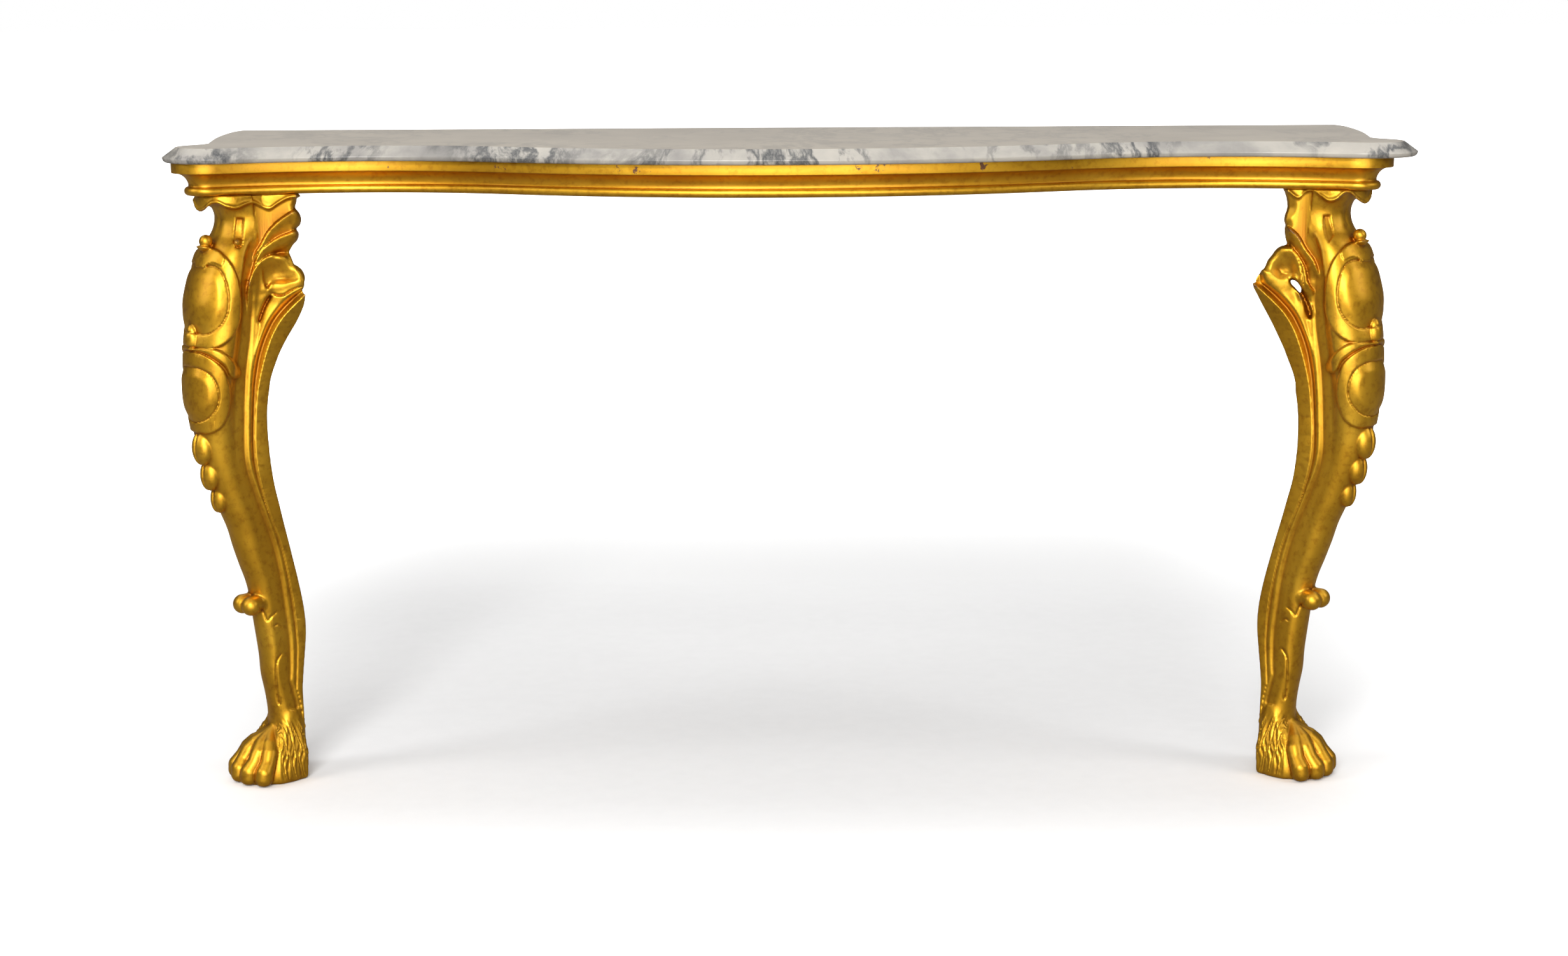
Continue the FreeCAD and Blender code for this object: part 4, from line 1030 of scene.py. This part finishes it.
def leg_outline(s_axis, n_axis, z, hand):
    """The leg's masses at some heights, and where each place is drawn, as (distance, p, h)."""
    s = s_axis[None, :, None]
    n = n_axis[None, None, :]
    height = z[:, None, None]
    thick, centre, nose, arris_n = [part[..., None] for part in side_profile(s_axis, z)]
    centre, nose, arris_n = [part[:, None] for part in (centre, nose, arris_n)]
    slope = np.gradient(thick[:, :, 0], s_axis, axis=1)[:, :, None]
    solid = egg((np.maximum(s - centre, 0.0), nose), (n, thick))
    solid = solid / np.sqrt(1 + np.clip(np.where(s < centre, slope, 0.0), -3, 3) ** 2)

    p, h = drawn(s, n, height)
    p = p + 0.0 * h
    along = (n - s) * HALF_ROOT + 0.0 * h
    reach = (n + s) * HALF_ROOT + 0.0 * h
    back_edge = (through(INNER, z) + through(BACK_SHIFT[hand], z))[:, None, None]
    back_edge = back_edge + DRAWN_SHIFT + DRAWN_N * arris_n
    back_edge = back_edge / DRAWN_S
    core_back = through(CORE_BACK, z)[:, None, None]
    winged = ease((height - 500) / 90)
    flat_back = np.maximum(back_edge, core_back) - s
    wing_back = np.maximum(np.where(height < SWEEP_ENDS, back_edge, -200.0) - s, -24.0 - reach)
    solid = meet(solid, flat_back * (1 - winged) + wing_back * winged, 2.5)
    if within_run(z, CROWN):
        sweep_top = np.where(p < -45, h - through(SWEEP_TOP[hand], p), -50.0)
        solid = meet(solid, sweep_top, 2.0)
        neck = np.maximum(np.maximum(n - NECK_HALF, core_back - s), s - centre)
        solid = join(solid, np.maximum(neck, NECK_BOTTOM - height), 1.5)
        post = np.maximum(behind_post(along, reach, hand),
                          np.maximum(POST_FRONT - along, reach + POST_FRONT))
        solid = join(solid, np.maximum(post, LEG_HEIGHT - POST_LENGTH - height), 1.5)
        solid = join(solid, ear(p, h, reach, hand), 18.0)
        solid = join(solid, capital(s, n, p, h, along, reach, hand), 3.0)
    if within_run(z, NOSE_ORNAMENT):
        solid = ornament(solid, s, n, height)
    if within_run(z, HUSK_RUN):
        for husk_height, tall, wide, out in HUSKS:
            at = centre_of_nose(husk_height) - 3.0
            husk = bud((s, n, height), (at, 0.0, husk_height), (out, wide, tall))
            husk = husk + 3.0 * np.exp(-(n / 1.6) ** 2)
            solid = join(solid, husk, 1.5)
    if within_run(z, KNOB_RUN):
        solid = join(solid, limb(s, n, height, KNOB), 4.0)
    if within_run(z, PAW_RUN):
        solid = join(solid, paw(s, n, height), 6.0)
    ends = np.maximum(height - LEG_HEIGHT, -height) + 0.0 * solid
    return meet(solid, ends, 1.0), p, h


def centre_of_nose(height):
    """The leg's foremost place s at a height."""
    z = np.array([height], dtype=float)
    _, centre, nose, _ = side_profile(np.array([0.0]), z)
    return float(centre[0] + nose[0])


def ear(p, h, reach, hand):
    """The curled leaf beside the capital, a thick board in front of the post."""
    edge = outline_distance(p, h, rounded(EAR_OUTLINE[hand]))
    dish = 6.0 * np.exp(-((p + 83) / 17) ** 2 - ((h - 711) / 12) ** 2)
    swell = 0.5 + 4.0 * ease(-edge / 8) - dish
    face = (reach - swell) * 0.8
    return meet(meet(edge, face, 7.0), -30.0 - reach, 3.0)


def capital(s, n, p, h, along, reach, hand):
    """The wavy leaf lip under the frame."""
    plan = egg((np.maximum(s + 4.0, 0.0), 41), (n, 45))
    plan = np.minimum(plan, np.maximum(reach - 9.0, 30.0 - along))
    lip_end = np.maximum(along - LIP_END[hand], -20.0 - reach)
    plan = np.maximum(plan, np.minimum(behind_post(along, reach, hand), lip_end))
    above = h - through(LIP_EDGE[hand], p)
    rim = 3.0 * np.exp(-((above - 1.5) / 3.2) ** 2)
    return meet((plan + 2.5 - rim) * 0.8, -above, 2.5)


def paw(s, n, z):
    """Toes fanned about the ankle, and a square heel."""
    out = s - TOE_CENTRE
    out = np.maximum(out, -PAW_BACK * out)
    body = np.sqrt(out ** 2 + (PAW_SPREAD * n) ** 2) - through(PAW_CORE, z)
    half = through(HEEL_SIDE, z)
    heel_s = np.abs(s - through(HEEL_MIDDLE, z)) - through(HEEL_HALF, z)
    corner = 9.0
    heel = np.hypot(np.maximum(heel_s + corner, 0), np.maximum(n - half + corner, 0)) - corner
    heel = heel + np.minimum(np.maximum(heel_s, n - half) + corner, 0)
    heel = np.maximum(heel, z - 94)
    whole = join(body, heel, 8.0)
    for turn in TOE_TURNS:
        spine = []
        for far, height, thick, sway in TOE:
            way = math.radians(turn + sway)
            spine.append((TOE_CENTRE + far * math.cos(way), far * math.sin(way), height, thick))
        whole = join(whole, limb(s, n, z, spine), 1.2)
    return meet(whole, -z, 5.0)


def leg_details(solid, p, h, s, n, z, hand):
    """Surface ornament, worked into the distances near the surface."""
    raised = np.zeros(solid.shape)
    frames = (z > 480) & (z < 765) & (p > -45)
    for frame_edge, oval_edge in zip(FRAMES, OVALS):
        frame_in = inside(p, h, frame_edge, frames)
        oval_in = inside(p, h, oval_edge, frames)
        line = 2.4 * np.exp(-(oval_in / 0.9) ** 2)
        pillow = 2.8 * ease(oval_in / 15) - 0.8 * ease(oval_in / 2)
        raised = np.maximum(raised, 3.6 * ease(frame_in / 1.6) - line + pillow)
    raised = np.maximum(raised, 5.2 * ease(inside(p, h, CAP, frames) / 1.8))
    raised = np.maximum(raised, 4.6 * ease(inside(p, h, TONGUE, frames) / 4.5))
    leaves = (z > 645) & (p < -28)
    rim = np.zeros(p.shape)
    board = -outline_distance(p[leaves], h[leaves], rounded(EAR_OUTLINE[hand], 3))
    rim[leaves] = np.maximum(ease(board / 5 + 0.25), ease((p[leaves] + 68) / 8))
    for line in LEAF_EDGES[hand]:
        below = np.full(p.shape, -1.0)
        below[leaves], share = side_distance(p[leaves], h[leaves], rounded(line))
        grown = np.zeros(p.shape)
        grown[leaves] = ease(share * 4)
        lift = 7.0 * np.where(below > 0, ease(below / 2.2) * np.exp(-(below / 12.5) ** 2), 0.0)
        raised = np.maximum(raised, lift * grown * rim)
    cut = np.zeros(solid.shape)
    for line, width, depth in CUTS[hand] + SHIN_CUTS:
        distance, share = line_distance(p, h, rounded(line))
        taper = np.sqrt(np.clip(np.minimum(share, 1 - share) * 6, 0.05, 1.0))
        cut = np.maximum(cut, depth * taper * np.exp(-(distance / width) ** 2))
    slot_edge = outline_distance(p, h, NECK_SLOT[hand])
    on_face = (n > 24) & (h > 700)
    slot = np.where(on_face, 2.6 * ease(-slot_edge / 1.6), 0.0)
    cut = np.maximum(cut, slot)
    around = np.degrees(np.arctan2(n, s - TOE_CENTRE))
    sway = around + 5 * np.sin(z / 13) + 2 * np.sin(around / 3 + z / 9)
    fur = np.sin(sway * 2 * math.pi / 6.4) + 0.35 * np.sin(sway * 2 * math.pi / 10.7)
    fur_zone = ease((around - 58) / 10) * ease((92 - z) / 26) * ease((z - 2) / 8)
    cut = cut + np.where(z < 100, 0.85 * fur_zone * (1 - fur), 0.0)
    solid = solid - raised + cut
    if hand > 0:
        return solid
    ball_p, ball_n, ball_height, radius = NECK_BALL
    ball = np.sqrt((ball_p - p) ** 2 + (h - ball_height) ** 2 + (n - ball_n) ** 2) - radius
    return np.where(on_face, np.minimum(solid, ball), solid)


def ornament(solid, s, n, z):
    """Ball and knot on the nose line, which stand clear of the surface."""
    ball_s, ball_n, ball_height, radius = NOSE_BALL
    ball = np.sqrt((s - ball_s) ** 2 + (n - ball_n) ** 2 + (z - ball_height) ** 2) - radius
    knot = bud((s, n, z), (centre_of_nose(KNOT_HEIGHT) + 2.0, 0.0, KNOT_HEIGHT), KNOT_SIZE)
    return join(join(solid, ball, 1.5), knot, 1.5)


def carve(hand):
    """A leg's distances on a grid, sampled in thin layers; details only where the surface is near."""
    s_axis = np.arange(*CARVED_S, CELL)
    n_axis = np.arange(CELL / 2, CARVED_N, CELL)
    z_axis = np.arange(-3 * CELL, LEG_HEIGHT + 3 * CELL, CELL)
    field = np.empty((len(s_axis), len(n_axis), len(z_axis)), dtype=np.float32)
    for k in range(0, len(z_axis), SLICE):
        z = z_axis[k:k + SLICE]
        layer, p, h = leg_outline(s_axis, n_axis, z, hand)
        near = np.abs(layer) < NEAR
        up, out, across = np.nonzero(near)
        layer[near] = leg_details(layer[near], p[near], h[near], s_axis[out], n_axis[across], z[up], hand)
        field[:, :, k:k + SLICE] = layer.transpose(1, 2, 0)
    return np.concatenate([field[:, ::-1, :], field], axis=1), (s_axis[0], -n_axis[-1], z_axis[0])


def lean_at(z):
    """Both shanks stand a little to the left of true."""
    return SHANK_LEAN * ease((LEAN_STARTS - z) / LEAN_RUN)


def carved_leg(hand):
    """One leg with its ears as a gilded carving; hand is 1 on the right, -1 on the left."""
    field, corner = carve(hand)
    grid = openvdb.FloatGrid(NEAR)
    grid.copyFromArray(np.clip(field, -NEAR, NEAR))
    points, triangles, quads = grid.convertToPolygons(isovalue=0.0, adaptivity=0.0)
    s, n, z = (points * CELL + np.array(corner)).T
    z = np.clip(z, 0.0, LEG_HEIGHT)
    x = (LEG_X + (s - n) * HALF_ROOT) * hand - lean_at(z)
    y = -(LEG_REACH + (s + n) * HALF_ROOT)
    name = "right" if hand > 0 else "left"
    mesh = bpy.data.meshes.new(f"carved_{name}_leg")
    faces = [tuple(face) for face in quads.tolist()] + [tuple(face) for face in triangles.tolist()]
    mesh.from_pydata(np.stack([x, y, z + FLOOR_Z], axis=1) * MM, [], faces)
    mesh.materials.append(GOLD)
    leg = show(f"carved_{name}_leg", mesh)
    keep_largest(mesh)
    count = sum(len(polygon.vertices) - 2 for polygon in mesh.polygons)
    if count > LEG_TRIANGLES:
        thin = leg.modifiers.new("thin", "DECIMATE")
        thin.ratio = LEG_TRIANGLES / count
        thinned = bpy.data.meshes.new_from_object(leg.evaluated_get(bpy.context.evaluated_depsgraph_get()))
        leg.modifiers.clear()
        leg.data = thinned
    leg.data.shade_smooth()
    mark_painted_shade_and_rubbing(leg.data, field, corner, hand)
    return put(leg, "gilded_wood", f"{name}_leg", f"{name}_front_ear", f"{name}_side_ear")


def keep_largest(mesh):
    """Drop stray crumbs of a carving and face the rest outwards."""
    work = bmesh.new()
    work.from_mesh(mesh)
    seen = set()
    groups = []
    for start in work.verts:
        if start.index in seen:
            continue
        group = [start]
        seen.add(start.index)
        for vertex in group:
            for edge in vertex.link_edges:
                other = edge.other_vert(vertex)
                if other.index not in seen:
                    seen.add(other.index)
                    group.append(other)
        groups.append(group)
    groups.sort(key=len)
    for group in groups[:-1]:
        bmesh.ops.delete(work, geom=group, context="VERTS")
    bmesh.ops.recalc_face_normals(work, faces=work.faces)
    work.to_mesh(mesh)
    work.free()


def blurred(field, cells):
    """Average of a grid over a cube this many cells to each side."""
    for axis in range(3):
        pad = [(0, 0)] * 3
        pad[axis] = (cells + 1, cells)
        total = np.cumsum(np.pad(field, pad, mode="edge"), axis=axis, dtype=np.float64)
        count = 2 * cells + 1
        ahead = np.take(total, range(count, total.shape[axis]), axis=axis)
        behind = np.take(total, range(total.shape[axis] - count), axis=axis)
        field = ((ahead - behind) / count).astype(np.float32)
    return field


def mark_painted_shade_and_rubbing(mesh, field, corner, hand):
    """Store how hollow (below 0) or how proud (above 0) the carving is about each point; the gilding paints
    shade into the hollows and rubs through on the proud places.
    """
    near = np.clip(field, -HOLLOW_DEPTH, HOLLOW_DEPTH)
    level = blurred(blurred(near, HOLLOW_CELLS), HOLLOW_CELLS)
    places = np.empty(len(mesh.vertices) * 3, dtype=np.float32)
    mesh.vertices.foreach_get("co", places)
    x, y, z = places.reshape(-1, 3).T / MM
    along = (x + lean_at(z - FLOOR_Z)) * hand - LEG_X
    across = -y - LEG_REACH
    spot = np.stack([(along + across) * HALF_ROOT, (across - along) * HALF_ROOT, z - FLOOR_Z])
    spot = (spot - np.array(corner)[:, None]) / CELL
    top = np.array(level.shape)[:, None] - 2
    low = np.clip(np.floor(spot).astype(int), 0, top)
    part = np.clip(spot - low, 0, 1)
    result = np.zeros(len(x))
    for step in np.ndindex(2, 2, 2):
        share = np.prod([part[axis] if step[axis] else 1 - part[axis] for axis in range(3)], axis=0)
        result += share * level[low[0] + step[0], low[1] + step[1], low[2] + step[2]]
    layer = mesh.attributes.new("painted_shade_and_rubbing", "FLOAT", "POINT")
    layer.data.foreach_set("value", result.astype(np.float32))


# ================================================================ scene
def finish(names, material):
    """Give a finish to CAD pieces, whose shape is right."""
    for name in names:
        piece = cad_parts[name]
        piece.data.materials.clear()
        piece.data.materials.append(material)


def floor():
    """A wide sheet of white paper under the feet."""
    half = 60.0
    mesh = bpy.data.meshes.new("paper_floor")
    z = FLOOR_Z * MM
    mesh.from_pydata([(-half, -half, z), (half, -half, z), (half, half, z), (-half, half, z)], [],
                     [(0, 1, 2, 3)])
    mesh.materials.append(studio_floor())
    made = show("paper_floor", mesh)


def lamp(name, kind, power, place, target, size):
    """A white studio lamp aimed at a target; size is metres for a softbox and degrees for a sun."""
    data = bpy.data.lights.new(name, kind)
    data.energy = power
    if kind == "SUN":
        data.angle = math.radians(size)
    else:
        data.shape = "RECTANGLE"
        data.size, data.size_y = size
    made = show(name, data)
    made.location = place
    made.rotation_euler = (Vector(target) - Vector(place)).to_track_quat("-Z", "Y").to_euler()
    made.visible_camera = False


def surroundings():
    """A pale studio: white to the eye, grey where it is mirrored, and dim as a light."""
    world = bpy.data.worlds.new("pale_studio")
    bpy.context.scene.world = world
    world.use_nodes = True
    rays = node(world, "ShaderNodeLightPath")
    mirrored = node(world, "ShaderNodeMix", COLOURS, i0=(rays, "Is Glossy Ray"), i6=linear("#2E2C2A"),
                    i7=linear("#565350"))
    seen = node(world, "ShaderNodeMix", COLOURS, i0=(rays, "Is Camera Ray"), i6=(mirrored, 2),
                i7=linear("#FFFFFF"))
    plug(world, world.node_tree.nodes["Background"], Color=(seen, 2), Strength=1.0)


def camera():
    """The view from the room, a little above the table and level with its middle."""
    data = bpy.data.cameras.new("studio_camera")
    data.sensor_width = SENSOR
    data.lens = LENS
    made = show("studio_camera", data)
    made.location = (0.0, -CAMERA_REACH * MM, (CAMERA_HEIGHT + FLOOR_Z) * MM)
    tilt = Vector((0, math.cos(math.radians(CAMERA_PITCH)), -math.sin(math.radians(CAMERA_PITCH))))
    level = tilt.to_track_quat("-Z", "Y")
    made.rotation_euler = (level @ Quaternion((0, 0, 1), math.radians(CAMERA_ROLL))).to_euler()
    bpy.context.scene.camera = made


marble_slab()
front_rail()
for hand in (1, -1):
    side_rail(hand)
    carved_leg(hand)
finish(["marble_pads"], FELT)
finish(["back_rail"], PINE_ALONG_X)
finish(["left_batten", "middle_batten", "right_batten"], PINE_ALONG_Y)
finish(["left_front_block", "right_front_block", "left_rear_block", "right_rear_block", "rail_dowels",
        "ear_dowels"], PINE_UPRIGHT)
finish(["rear_block_screws", "batten_screws", "leg_bolts", "leg_washers", "leg_nuts"], STEEL)
floor()
surroundings()
lamp("front_softbox", "AREA", 230, (-0.9, -5.2, 2.3), (0.0, -0.3, -0.1), (2.0, 1.3))
lamp("front_card", "AREA", 190, (0.2, -5.6, 0.1), (0.0, -0.3, -0.2), (5.0, 2.2))
lamp("left_softbox", "AREA", 40, (-3.4, -1.6, 1.6), (-0.4, -0.3, -0.2), (1.2, 2.4))
lamp("right_softbox", "AREA", 34, (3.4, -1.6, 1.6), (0.4, -0.3, -0.2), (1.2, 2.4))
lamp("back_card", "AREA", 9, (0.0, 3.6, 0.9), (0.0, -0.3, 0.0), (4.0, 1.3))
lamp("sky_sun", "SUN", 1.4, (0.0, 0.6, 3.0), (0.0, 0.0, 0.0), 80)
camera()

bpy.context.scene.view_settings.view_transform = "Standard"
